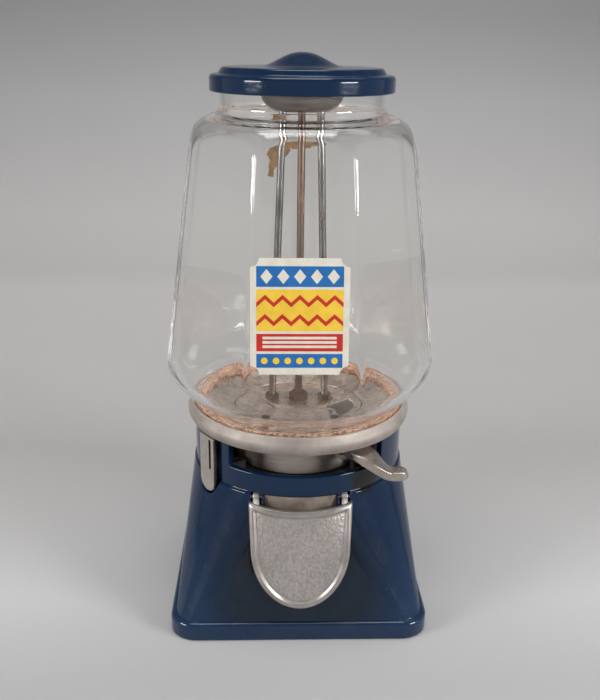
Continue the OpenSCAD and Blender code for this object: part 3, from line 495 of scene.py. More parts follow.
# Each metal: dark and light tone, range of roughness, scale and depth of the grain, bare, along, spots.
METALS = {
    "cast_aluminium": ((0.31, 0.268, 0.238), (0.43, 0.378, 0.345), (0.48, 0.64), 900, 0.3, 0.55),
    "rubbed_floor": ((0.38, 0.29, 0.235), (0.77, 0.63, 0.54), (0.2, 0.38), 500, 0.3, 0.87),
    "turned_aluminium": ((0.56, 0.48, 0.43), (0.76, 0.67, 0.61), (0.38, 0.52), 700, 0.12, 0.6, (1, 1, 9)),
    "chute_metal": ((0.19, 0.145, 0.115), (0.40, 0.335, 0.285), (0.42, 0.6), 600, 0.3, 0.5),
    "worn_rim": ((0.40, 0.36, 0.335), (0.56, 0.52, 0.49), (0.3, 0.42), 900, 0.14, 0.9),
    # Hinge ears: worn pale metal, painted paler still as a painted highlight.
    "rubbed_and_lit_ear": ((0.62, 0.585, 0.56), (0.80, 0.765, 0.74), (0.3, 0.42), 900, 0.14, 0.55),
    "satin_lever": ((0.38, 0.32, 0.285), (0.55, 0.485, 0.44), (0.24, 0.36), 900, 0.12, 0.88),
    "coin_casting": ((0.36, 0.325, 0.30), (0.50, 0.46, 0.43), (0.4, 0.55), 800, 0.2, 0.7),
    "yoke_casting": ((0.10, 0.09, 0.08), (0.29, 0.26, 0.24), (0.12, 0.24), 700, 0.25),
    "steel": ((0.40, 0.39, 0.37), (0.60, 0.58, 0.56), (0.22, 0.38), 900, 0.1),
    "worn_steel": ((0.20, 0.19, 0.18), (0.42, 0.405, 0.39), (0.16, 0.3), 900, 0.15, 1, (1, 1, 0.3),
                   (0.56, 0.68, (0.08, 0.045, 0.025), (0.18, 0.11, 0.07))),
    "rusty_steel": ((0.10, 0.068, 0.05), (0.19, 0.14, 0.11), (0.28, 0.45), 900, 0.3, 1, (1, 1, 0.35),
                    (0.46, 0.62, (0.075, 0.04, 0.024), (0.17, 0.095, 0.06))),
    "bronze": ((0.36, 0.19, 0.10), (0.55, 0.33, 0.19), (0.28, 0.45), 700, 0.15),
    # Dark oxidised steel, which also serves as painted shade on the coin plate's side and on small inner
    # parts.
    "dark_steel_and_shade": ((0.05, 0.047, 0.045), (0.11, 0.105, 0.10), (0.35, 0.55), 600, 0.15),
    # Near-black steel is painted shade: it darkens the floor plate, coin track and stop post inside the base.
    "painted_shade_steel": ((0.010, 0.009, 0.008), (0.028, 0.025, 0.023), (0.45, 0.65), 600, 0.15, 0.2),
}
# Each ink: dark and light tone.
INKS = {
    "leather": ((0.10, 0.05, 0.025), (0.16, 0.085, 0.045)),
    "print_cream": ((0.66, 0.62, 0.53), (0.74, 0.70, 0.61)),
    "print_blue": ((0.010, 0.12, 0.36), (0.014, 0.15, 0.43)),
    "print_yellow": ((0.78, 0.50, 0.04), (0.86, 0.57, 0.06)),
    "print_red": ((0.48, 0.020, 0.014), (0.56, 0.028, 0.018)),
    "brown_paper": ((0.07, 0.032, 0.012), (0.20, 0.115, 0.045)),
}
OTHERS = {"blue_enamel": enamel, "stippled_casting": stippled, "cork": pressed_cork, "glass": clear_glass}


@functools.cache
def look(name):
    """The named material, made when first asked for."""
    if name in METALS:
        return metal(name, *METALS[name])
    if name in INKS:
        return ink(name, *INKS[name])
    return OTHERS[name](name)


# Forms shared by several pieces


def body_front(x, z, out):
    """Y of the base's front wall, moved out by a distance.

    The wall's section at a height is a rounded square: its corner radius and its flats run in a straight
    line from the foot's small corners to the collar's full circle.
    """
    t = (BODY_TOP - z) / (BODY_TOP - FOOT_TOP)
    radius = (1 - t) * BODY_ROUND + t * BODY_CORNER + out
    half = t * BODY_FLAT
    over = np.clip(np.abs(x) - half, 0, None)
    return -(half + np.sqrt(np.maximum(radius ** 2 - over ** 2, 1.0)))


def globe_flat(z):
    """Distance of the globe's flats from the axis at a height above the glass foot."""
    slope = (SHOULDER_ACROSS - CHIN_ACROSS) / (SHOULDER_UP - CHIN_UP)
    return (CHIN_ACROSS + slope * (z - CHIN_UP)) / 2


# Property groups


class VendorGlass(bpy.types.PropertyGroup):
    """Sizes of the glass globe."""

    wall: FloatProperty(name="Wall", description="Thickness of the glass", default=0.0032, unit="LENGTH")
    softness: FloatProperty(
        name="Softness", description="How far the corners between flats are melted round",
        default=0.0004, unit="LENGTH")
    ripple: FloatProperty(
        name="Ripple", description="Unevenness of the inner face", default=0.00001, unit="LENGTH")
    around: IntProperty(name="Around", description="Points round the globe", default=288, min=64)


class VendorMetal(bpy.types.PropertyGroup):
    """Sizes of the castings."""

    edge: FloatProperty(
        name="Edge", description="Rounding of the base casting's edges", default=0.001, unit="LENGTH")
    rim: FloatProperty(
        name="Flap rim", description="Width of the flap's raised rim", default=0.0042, unit="LENGTH")
    around: IntProperty(name="Around", description="Points round a turned piece", default=192, min=48)


class VendorStage(bpy.types.PropertyGroup):
    """Camera and light."""

    key: FloatProperty(
        name="Left lamp", description="Power of the soft lamp on the left", default=5.6, unit="POWER")
    fill: FloatProperty(
        name="Right lamp", description="Power of the soft lamp on the right", default=7.4, unit="POWER")
    top: FloatProperty(name="Top lamp", description="Power of the soft lamp above", default=8.0, unit="POWER")
    back: FloatProperty(
        name="Back lamp", description="Power of the lamp on the backdrop", default=2.0, unit="POWER")
    pitch: FloatProperty(
        name="Pitch", description="Angle by which the camera looks down",
        default=math.radians(19.425), subtype="ANGLE")
    turn: FloatProperty(
        name="Turn", description="Angle by which the camera stands to the left of the front",
        default=math.radians(2.0), subtype="ANGLE")
    roll: FloatProperty(
        name="Roll", description="Tilt of the camera about its own axis",
        default=math.radians(0.755), subtype="ANGLE")
    distance: FloatProperty(
        name="Distance", description="Camera's level distance from the axis", default=0.5488, unit="LENGTH")
    height: FloatProperty(
        name="Height", description="Camera's height above the counter", default=0.3609, unit="LENGTH")
    lens: FloatProperty(name="Lens", description="Focal length in millimetres", default=45.04)


# Operators


class VENDOR_OT_globe(bpy.types.Operator):
    """Glass globe: a turned profile cut to eight melted flats, with an uneven inner face.

    The radius is the soft least of the profile and of the flats next to it. The columns gather at the eight
    corners, where the wall turns within a millimetre.
    """

    bl_idname = "vendor.globe"
    bl_label = "Glass globe"

    def side(self, inset):
        """Outer or inner wall from the foot to below the mouth, as (radius, height above the foot)."""
        foot, neck = GLOBE_FOOT - inset, GLOBE_NECK - inset
        neck_root, neck_plain, neck_end = 185.2 - inset, GLOBE_TALL - 10, GLOBE_TALL - 4
        chin_in, chin_round, shoulder_in, shoulder_round = 55.4, 33.0, 50.95, 20.6
        chin = arc((chin_in, CHIN_UP), chin_round - inset, -64, 0, 34)
        shoulder = arc((shoulder_in, SHOULDER_UP), shoulder_round - inset, 0, 66, 26)
        t = np.linspace(0, 1, 44)[1:-1, None]
        cone = chin[-1] * (1 - t) + shoulder[0] * t
        low = filleted([(foot, 0.9, 0), (foot, 3.0, 0.8), (*chin[0], 0)], 4)[:-1]
        root = filleted([(*shoulder[-1], 0), (neck, neck_root, 4.5), (neck, neck_plain, 0)], 12)[1:]
        rise = np.linspace(neck_plain + 0.8, neck_end, 8)
        plain = np.stack([np.full(len(rise), neck), rise], -1)
        return np.concatenate([low, chin, cone, shoulder, root, plain])

    def execute(self, context):
        p = context.scene.vendor_glass
        foot_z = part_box("glass_globe")[0].z / MM
        wall, ripple = p.wall / MM, p.ripple / MM
        gather, ridge_high, flat_turn = 0.86, 2.4, np.pi / 4
        outer, inner = self.side(0), self.side(wall)
        lip, bore, lip_round = GLOBE_TALL - 3, GLOBE_NECK - wall, 1.5
        mouth = filleted([(GLOBE_NECK, lip, 0), (GLOBE_NECK, GLOBE_TALL, lip_round),
                          (bore, GLOBE_TALL, lip_round), (bore, lip, 0)], 6)
        foot = np.array([[GLOBE_FOOT - 3.1, 0.3], [GLOBE_FOOT - 2.7, 0],
                         [GLOBE_FOOT - 0.5, 0], [GLOBE_FOOT - 0.1, 0.3]])
        profile = np.concatenate([outer, mouth, inner[::-1], foot])
        depth = np.concatenate([np.zeros(len(outer)), np.linspace(0, wall, len(mouth)),
                                np.full(len(inner), wall), np.linspace(wall, 0, len(foot))])[:, None]
        even = full_turn(p.around)[None, :]
        turn = even + gather * np.sin(8 * even) / 8
        z = profile[:, 1, None]
        delta = (turn + flat_turn / 2) % flat_turn - flat_turn / 2
        flats = [(globe_flat(z) - depth) / np.cos(delta + k * flat_turn) for k in (-1, 0, 1)]
        above_chin, below_shoulder = np.clip((z - 25) / 18, 0, 1), np.clip((174 - z) / 14, 0, 1)
        ridge = ridge_high * above_chin ** 2 * below_shoulder ** 2
        walls = np.stack(np.broadcast_arrays(profile[:, 0, None] + ridge, *flats))
        sharpness = math.log(2) / (p.softness / MM)
        r = -np.logaddexp.reduce(-sharpness * walls) / sharpness
        uneven = waves(turn * 3, z * 0.09, [(1, 0.7, 0.3), (2, -1.1, 1.9), (3, 0.4, 4.0), (1, 2.3, 2.6)])
        r = r + (depth / wall) * ripple * uneven * np.clip((z - 6) / 12, 0, 1)
        points = np.stack([r * np.sin(turn), -r * np.cos(turn), np.broadcast_to(z + foot_z, r.shape)], -1)
        faces = grid_faces(len(profile), p.around, True)
        piece("globe", points, faces, "hopper", ["glass"], ["glass_globe"])
        return {"FINISHED"}


class VENDOR_OT_lid(bpy.types.Operator):
    """Pressed lid: a turned profile with a rolled rim, a raised plate and a dome that follows a cosine."""

    bl_idname = "vendor.lid"
    bl_label = "Lid"

    def execute(self, context):
        p = context.scene.vendor_metal
        low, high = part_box("lid")
        base, top, rim = low.z / MM, high.z / MM, high.x / MM
        dome_r, dome_h, skirt_in, ledge_in = 26.5, 8.4, 51.4, 43.4
        plate = top - dome_h
        under, seat, shelf = plate - 3.2, base + 5.7, base + 9.9
        hole, hole_top, hub_low, hub_r = 2.53, base + 15.7, base + 6.7, 7.4
        t = np.linspace(1, 0, 40)[:-1]
        dome = np.stack([dome_r * t, plate + dome_h * (1 + np.cos(np.pi * t ** 1.15)) / 2], -1)
        outside = filleted([
            (skirt_in, seat, 0), (skirt_in, base, 0.5), (rim, base, 1.0), (rim, shelf, 3.0),
            (rim - 5.3, shelf + 0.5, 1.6), (rim - 7.6, plate - 0.3, 2.0), (rim - 12.9, plate, 0),
            (dome_r + 0.9, plate, 0)], 7)
        inside = np.array([
            [hole, hole_top], [hole, hub_low], [hub_r, hub_low], [hub_r + 1, under + 1.0],
            [20.0, under], [ledge_in, under], [ledge_in, seat], [skirt_in - 0.2, seat]])
        loops = lathe(np.concatenate([inside, outside, dome]), p.around)
        points, faces = capped(loops, [0, 0, hole_top], [0, 0, top])
        piece("lid_shell", points, faces, "lid", ["blue_enamel"], ["lid"], sharp=50)
        return {"FINISHED"}


class VENDOR_OT_base(bpy.types.Operator):
    """Base casting, with the edges of its collar softened, and its bottom plate."""

    bl_idname = "vendor.base"
    bl_label = "Base casting"

    def execute(self, context):
        edge = context.scene.vendor_metal.edge / MM
        softened("base_casting", "base", "blue_enamel", edge, 3, 32, above=BODY_TOP - 1)
        dress("dark_steel_and_shade", "base_plate")
        return {"FINISHED"}


class VENDOR_OT_ring(bpy.types.Operator):
    """Hopper ring and its cork gasket: two closed sections turned round the axis."""

    bl_idname = "vendor.ring"
    bl_label = "Ring and gasket"

    def post(self, at, angle, radius, low, high):
        """Round boss at a distance from the axis and an angle from the front."""
        turn = math.radians(angle)
        place = np.array([at * math.sin(turn), -at * math.cos(turn), 0])
        loops = lathe(np.array([[radius, low], [radius, high]]), 40) + place
        return capped(loops, place + [0, 0, low], place + [0, 0, high])

    def ring(self, around):
        """Hopper ring: a closed section with a bulged band, the gasket's seat, a funnel and a spigot, turned
        round the axis, with a boss for each pillar and a foot for each end of the drum's cover."""
        low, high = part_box("hopper_ring")
        foot, rim, outer = low.z / MM, high.z / MM, high.x / MM
        sole, seat, bore, lip = foot + 2.0, rim - 3.5, outer - 3.6, foot + 2.7
        under = seat - 2.6
        spigot, throat, hip = 64.9, 44.3, 59.1
        spigot_in = spigot - 2.4
        pillar_at, pillar_r, pillar_angles = 58.4, 4.3, (62, 130, 262)
        cover_at, cover_r, cover_angles = throat + 3, 3.0, (-28, 28)
        section = filleted([
            (spigot, sole, 0), (outer - 1.8, sole, 1.8), (outer + 0.9, sole + 5.0, 8.0),
            (outer - 1.6, rim, 2.6), (bore + 0.6, rim, 0.3), (bore, rim - 0.6, 0), (bore, seat, 0),
            (hip, seat, 0.8), (throat, lip + 2.4, 0.5), (throat, lip, 0), (throat + 2.2, lip, 0),
            (hip, under, 0), (spigot_in, under, 0), (spigot_in, foot, 0), (spigot, foot, 0),
            (spigot, sole, 0)], 8)[:-1]
        faces = grid_faces(len(section), around, True)
        inward = np.roll(section[:, 0], -1) < section[:, 0] - 0.01
        funnel = inward & (section[:, 0] < bore + 0.01) & (section[:, 1] < rim - 1)
        shells = [(lathe(section, around), faces)]
        shells += [self.post(pillar_at, angle, pillar_r, foot, under + 0.5) for angle in pillar_angles]
        shells += [self.post(cover_at, angle, cover_r, foot + 4.1, foot + 7.5) for angle in cover_angles]
        points, faces = joined(shells)
        slots = np.zeros(len(faces), int)
        slots[:len(section) * around] = np.repeat(funnel, around)
        piece("hopper_band", points, faces, "hopper",
              ["cast_aluminium", "rubbed_floor"], ["hopper_ring"], slots, sharp=32)

    def gasket(self):
        """Cork gasket: an L-shaped section whose lip and inner side wander by sines round the turn."""
        low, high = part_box("cork_gasket")
        foot, seat, outer = low.z / MM, high.z / MM - 0.05, high.x / MM - 0.1
        inner, lip, lip_h, ragged, uneven, count = 61.0, 67.2, 1.3, 0.4, 0.0025, 720
        top = seat + 0.05
        section = filleted([
            (inner, foot, 0), (outer, foot, 0.3), (outer, top + lip_h, 0.7), (lip + 0.1, top + 1.2, 0.4),
            (lip, seat, 0), (inner, seat, 0.4), (inner, foot, 0)], 4)[:-1]
        turn = full_turn(count)
        rag = waves(turn * 17, turn * 5, [(1, 1, 0.2), (3, -2, 1.7), (7, 3, 0.9), (13, 1, 2.8)])
        loops = lathe(section, count)
        lift = np.clip((section[:, 1, None] - top) / lip_h, 0, 1) * rag[None, :] * ragged
        loops[..., 2] += lift
        wander = waves(turn * 11, turn * 3, [(1, 2, 0), (5, 1, 2), (9, 4, 1)])
        inside = (section[:, 0, None] < inner + 1).astype(float)
        loops[..., :2] *= (1 + inside * wander * uneven)[..., None]
        faces = grid_faces(len(section), count, True)
        piece("gasket", loops, faces, "hopper", ["cork"], ["cork_gasket"])

    def execute(self, context):
        self.ring(context.scene.vendor_metal.around)
        self.gasket()
        return {"FINISHED"}


class VENDOR_OT_flap(bpy.types.Operator):
    """Delivery flap: a shield outline shrunk in steps over the base's curved front, with a raised rim."""

    bl_idname = "vendor.flap"
    bl_label = "Delivery flap"

    ear_at = 27.6
    ear_wide = 4.1
    centre_z = 57.0
    panel_out = 2.15
    back_out = 0.4

    def outline(self, inset):
        """Shield seen from the front, from its top left corner clockwise: a dipped top, leaning sides and an
        elliptical end."""
        w, waist, low, top = 32.5 - inset, 31.2 - inset, 41.5 - inset, 91.0 - 1.1 * inset
        waist_z, dip = 64.0, 3.4
        x = np.linspace(-w, w, 60, endpoint=False)
        upper = np.stack([x, top - dip * (1 - (x / w) ** 2)], -1)
        t = np.linspace(0, 1, 40, endpoint=False)[:, None]
        right = (1 - t) * [w, top] + t * [waist, waist_z]
        a = -np.linspace(0, np.pi, 110, endpoint=False)
        lower = np.stack([waist * np.cos(a), waist_z + low * np.sin(a)], -1)
        left = (1 - t) * [-waist, waist_z] + t * [-w, top]
        loop = np.concatenate([upper, right, lower, left])
        kernel = np.array([1, 2, 3, 2, 1]) / 9
        around = np.concatenate([loop[-2:], loop, loop[:2]])
        return np.stack([np.convolve(around[:, k], kernel, "valid") for k in range(2)], -1)

    def shrunk(self, loop, steps):
        """An outline drawn together towards the flap's centre, once for each share of its size."""
        middle = np.array([0.0, self.centre_z])
        return [middle + (loop - middle) * share for share in steps]

    def shield(self, rim):
        """The flap's plate, closed front and back; returns its shell and the material slot of each face."""
        steps = [(0.25, 0.4), (0.0, 0.8), (0.0, 2.3), (0.25, 3.0), (0.8, 3.5), (1.6, 3.7), (rim - 1.5, 3.65),
                 (rim - 0.8, 3.35), (rim - 0.3, 2.75), (rim, 2.2), (rim + 0.5, 2.05), (rim + 1.1, 2.15)]
        front = self.shrunk(self.outline(steps[-1][0]), np.linspace(1, 0, 26)[1:-1][::-1])
        edge = [self.outline(inset) for inset, _ in steps[::-1]]
        back = self.shrunk(self.outline(0.4), np.linspace(1, 0.04, 14))
        flat = np.array(front + edge + back)
        out = np.concatenate([np.full(len(front), self.panel_out), [height for _, height in steps[::-1]],
                              np.full(len(back), self.back_out)])[:, None]
        x, z = flat[..., 0], flat[..., 1]
        lumps = waves(x, z, [(1.1, 0.7, 0.1), (-0.8, 1.6, 2.0), (2.1, -1.3, 4.1), (0.4, 2.7, 1.1),
                             (2.9, 1.9, 3.3)])
        on_panel = (np.arange(len(flat)) < len(front) - 1)[:, None]
        loops = np.stack([x, body_front(x, z, out + 0.12 * lumps * on_panel), z], -1)
        poles = [[0, float(body_front(0.0, self.centre_z, o)), self.centre_z]
                 for o in (self.panel_out, self.back_out)]
        shell = capped(loops, *poles)
        rows, cols = loops.shape[:2]
        slots = np.zeros(len(shell[1]), int)
        slots[:len(front) * cols] = 1
        slots[(rows - 1) * cols:rows * cols] = 1
        return shell, slots

    def eye(self, x, hinge):
        """Hinge eye: a rounded ring section turned about the pin."""
        bore, outer, half = 1.6, 3.0, self.ear_wide / 2
        ring = filleted([(bore, -half, 0), (outer, -half, 0.5), (outer, half, 0.5), (bore, half, 0),
                         (bore, -half, 0)], 4)[:-1]
        turned = lathe(ring, 40)
        points = np.stack([x + turned[..., 2], hinge[1] + turned[..., 0], hinge[2] + turned[..., 1]], -1)
        return points, grid_faces(len(ring), 40, True)

    def arm(self, x, hinge):
        """Arm from the eye down to the flap: a rounded bar carried along a leaning path."""
        count = 16
        down = hinge[1:] + np.array([[-0.88, -0.4], [-3.88, -1.4], [-6.68, -2.9], [-8.28, -4.3]])
        path = resample(down, count)
        line = np.stack([np.full(count, x), path[:, 0], path[:, 1]], -1)
        side = np.tile([1.0, 0, 0], (count, 1))
        up = np.cross(side, heading(line))
        wide, tall = np.full(count, self.ear_wide), np.linspace(4.4, 3.4, count)
        loops = swept(line, side, up, superellipse(1, 1, 5, 40), wide, tall)
        return capped(loops[:, ::-1], line[0], line[-1])

    def execute(self, context):
        low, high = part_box("flap_pin")
        hinge = (np.array(low) + np.array(high)) / 2 / MM
        shell, slots = self.shield(context.scene.vendor_metal.rim / MM)
        shells = [shell]
        for x in (-self.ear_at, self.ear_at):
            shells += [self.eye(x, hinge), self.arm(x, hinge)]
        points, faces = joined(shells)
        slots = np.concatenate([slots, np.full(len(faces) - len(slots), 2)])
        materials = ["worn_rim", "stippled_casting", "rubbed_and_lit_ear"]
        piece("flap_casting", points, faces, "flap", materials, ["flap"], slots)
        return {"FINISHED"}


class VENDOR_OT_lever(bpy.types.Operator):
    """Lever: a rounded bar carried from the drum's seat out through the slot and down to the thumb piece.

    Seen from above its path is a straight run, a Bezier curve and a straight tip; it sinks by half a cosine.
    """

    bl_idname = "vendor.lever"
    bl_label = "Lever"

    def execute(self, context):
        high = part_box("lever")[1] / MM
        thick, drop, tip_y, tip_round = 6.4, 11.0, -61.2, 4.2
        root_at, bend_at, end_x, drop_from, drop_over = 44.2, 60.0, 56.0, 37.0, 21.0
        angle = math.radians(34.8)
        out = np.array([math.sin(angle), -math.cos(angle)])
        start, bend = root_at * out, bend_at * out
        end, tip = np.array([end_x, tip_y]), np.array([high.x - 0.2, tip_y])
        t = np.linspace(0, 1, 40)[:, None]
        c1, c2 = bend + 11.5 * out, end - [9.5, 0]
        curve = (1 - t) ** 3 * bend + 3 * (1 - t) ** 2 * t * c1 + 3 * (1 - t) * t ** 2 * c2 + t ** 3 * end
        plan = resample(np.concatenate([[start], curve, [tip]]), 110)
        x = plan[:, 0]
        sink = drop * (1 - np.cos(np.pi * np.clip((x - drop_from) / drop_over, 0, 1))) / 2
        rise = 1.2 * np.clip((x - 60.5) / 6.3, 0, 1) ** 2
        line = np.stack([x, plan[:, 1], high.z - thick / 2 - sink + rise], -1)
        along = heading(line)
        side = np.stack([along[:, 1], -along[:, 0], np.zeros(len(line))], -1)
        side /= np.linalg.norm(side, axis=1, keepdims=True)
        up = np.cross(side, along)
        far = distances(line)
        share, left = far / far[-1], far[-1] - far
        width = np.interp(share, [0, 0.36, 0.52, 0.68, 0.8, 1], [12.0, 16.2, 15.6, 12.4, 10.6, 9.4])
        close = np.sqrt(np.clip(1 - (1 - np.clip(left / tip_round, 0, 1)) ** 2, 0.0004, 1))
        height = np.interp(share, [0, 0.5, 1], [thick, thick, thick - 0.4]) * (0.6 + 0.4 * close)
        loops = swept(line, side, up, superellipse(1, 1, 7, 96), width * close, height)
        points, faces = capped(loops, line[0], line[-1] + along[-1] * 0.02)
        piece("lever_bar", points, faces, "lever", ["satin_lever"], ["lever"], sharp=60)
        return {"FINISHED"}


class VENDOR_OT_badge(bpy.types.Operator):
    """Plain printed badge on the front flat, and a torn paper scrap behind: outlines raised off the glass."""

    bl_idname = "vendor.badge"
    bl_label = "Badge"

    def raised(self, outline, low, high, front=True):
        """Prism on an outline (across, up) between two distances from the front flat's outer face or the rear
        flat's inner face."""
        foot_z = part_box("glass_globe")[0].z / MM
        behind_glass = 3.4
        across, z = outline[:, 0], outline[:, 1]
        flat = globe_flat(z - foot_z)
        depths = [-(flat + h) if front else flat - behind_glass - h for h in (low, high)]
        points = np.concatenate([np.stack([across, y, z], -1) for y in depths])
        n = len(outline)
        here = np.arange(n)
        there = (here + 1) % n
        sides = np.stack([here, there, there + n, here + n], -1).tolist()
        return points, sides + [list(range(n - 1, -1, -1)), list(range(n, 2 * n))]

    def box(self, half, z0, z1):
        """Rectangle about the middle, anticlockwise."""
        return np.array([[-half, z0], [half, z0], [half, z1], [-half, z1]], float)

    def zigzag(self, half, z, height, thick, peaks):
        """Band that goes up and down a number of times."""
        x = np.linspace(-half, half, 2 * peaks + 1)
        wave = z + height * (np.arange(2 * peaks + 1) % 2)
        return np.concatenate([np.stack([x, wave], -1), np.stack([x, wave + thick], -1)[::-1]])

    def layers(self):
        """Outlines about the badge's middle, each with its ink and its level: the card, the bands on it, and
        the diamonds, zigzags, stripes and dots on these."""
        cream, blue, yellow, red = range(4)
        half_w, half_h, notch_r, band, stripe = 28.0, 33.0, 5.0, 24.5, 21.0
        notch = arc((-half_w, -half_h), notch_r, 90, 0, 9)
        card = [notch, (notch * [-1, 1])[::-1], notch * [-1, -1], (notch * [1, -1])[::-1]]
        bands = [(blue, 17, 28.5), (yellow, -8, 15.5), (red, -19.5, -9.5), (blue, -29, -21)]
        diamond_z, diamond_w, diamond_h = 22.75, 3.4, 4.15
        diamond = np.array([[0, -diamond_h], [diamond_w, 0], [0, diamond_h], [-diamond_w, 0]])
        dot = arc((0, 0), 1.9, 0, 345, 24)
        found = [(np.concatenate(card), cream, 0)]
        found += [(self.box(band, z0, z1), colour, 1) for colour, z0, z1 in bands]
        found += [(diamond + [x, diamond_z], cream, 2) for x in np.linspace(-18.8, 18.8, 5)]
        found += [(self.zigzag(band, z, 4.4, 2.6, 5), red, 2) for z in (-5.2, 5.6)]
        found += [(self.box(stripe, z, z + 1.5), cream, 2) for z in (-17.6, -15.1, -12.6)]
        found += [(dot + [x, -25], yellow, 2) for x in np.linspace(-20, 20, 7)]
        return found

    def scrap(self):
        """Torn outline seen from the front, with a fine fixed raggedness."""
        torn = np.array([
            [-21, 294], [-13, 298], [-6, 300.5], [6, 299], [19, 300], [20, 295], [9, 292.5], [2, 290],
            [-5, 291.5], [-8, 285.5], [-12.5, 285], [-13, 278.5], [-16, 278], [-17, 271.5], [-21, 272],
            [-19.5, 283], [-22, 288], [-21, 294]], float)
        edge = resample(torn, 161)[:-1]
        along = np.arange(len(edge))
        rag = np.stack([np.sin(along * 1.7) + np.sin(along * 0.61), np.cos(along * 1.3)], -1)
        return edge + 0.35 * rag

    def execute(self, context):
        middle = [-2.4, 214.5]
        shells, slots = [], []
        for outline, colour, level in self.layers():
            shell = self.raised(outline + middle, 0.06 if level == 0 else 0.1, 0.12 + 0.05 * level)
            shells.append(shell)
            slots += [colour] * len(shell[1])
        points, faces = joined(shells)
        inks = ["print_" + colour for colour in ("cream", "blue", "yellow", "red")]
        piece("badge", points, faces, "hopper", inks, (), slots, sharp=30)
        points, faces = self.raised(self.scrap()[::-1], 0.05, 0.25, False)
        piece("paper_scrap", points, faces, "hopper", ["brown_paper"], (), sharp=30)
        return {"FINISHED"}


class VENDOR_OT_works(bpy.types.Operator):
    """Mechanism: the yoke, pieces with softened edges, and finishes of those shown as the CAD has them."""

    bl_idname = "vendor.works"
    bl_label = "Mechanism"

    def yoke(self):
        """Rod yoke: an oval dish that grows from half its size at the foot by a quarter of an ellipse."""
        low, high = (np.array(corner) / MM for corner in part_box("rod_yoke"))
        edge, count = 0.8, 96
        t = np.linspace(0, 1, 24)
        grow = np.append(np.sqrt(1 - 0.75 * (1 - t) ** 2), 0.96)[:, None]
        z = np.append(low[2] + (high[2] - edge - low[2]) * t, high[2])[:, None]
        oval = superellipse(high[0] - low[0], high[1] - low[1], 2.4, count)
        loops = np.stack([grow * oval[:, 0], grow * oval[:, 1], np.broadcast_to(z, (len(z), count))], -1)
        points, faces = capped(loops, [0, 0, low[2]], [0, 0, high[2]])
        piece("yoke_dish", points, faces, "hopper", ["yoke_casting"], ["rod_yoke"],
              sharp=50)

    def execute(self, context):
        self.yoke()
        angle = math.radians(-55)
        right = np.array([math.cos(angle), math.sin(angle), 0])
        # Painted shade: the coin plate's side that faces the gap beside it is finished dark.
        softened("coin_plate", "hopper", "coin_casting", 0.8, 3, 40,
                 (right, "dark_steel_and_shade"))
        softened("drum_cover", "hopper", "rubbed_floor", 0.4, 2, 40)
        softened("measuring_drum", "lever", "turned_aluminium", 0.4, 2, 40,
                 ([0, 0, 1], "rubbed_floor"))
        dress("turned_aluminium", "hopper_pillars")
        dress("chute_metal", "delivery_chute")
        dress("rusty_steel", "centre_rod", "rod_nuts", "cover_screws")
        dress("worn_steel", "side_rods")
        # Painted shade: the parts deep inside the base are made near black.
        dress("painted_shade_steel", "floor_plate", "coin_track", "stop_post")
        # Partly oxidised steel, partly painted shade for the small parts in the dark beside the lever.
        dress("dark_steel_and_shade", "dog_pin", "spring_post", "return_spring")
        dress("steel", "base_plate_screws", "chute_screws", "flap_pin", "lock_barrel", "lock_nut",
              "floor_screws", "lock_keeper", "lever_screws", "lock_plug", "lock_cam", "cam_screw")
        dress("bronze", "drum_bush", "coin_dog")
        dress("leather", "wiper_strip")
        return {"FINISHED"}


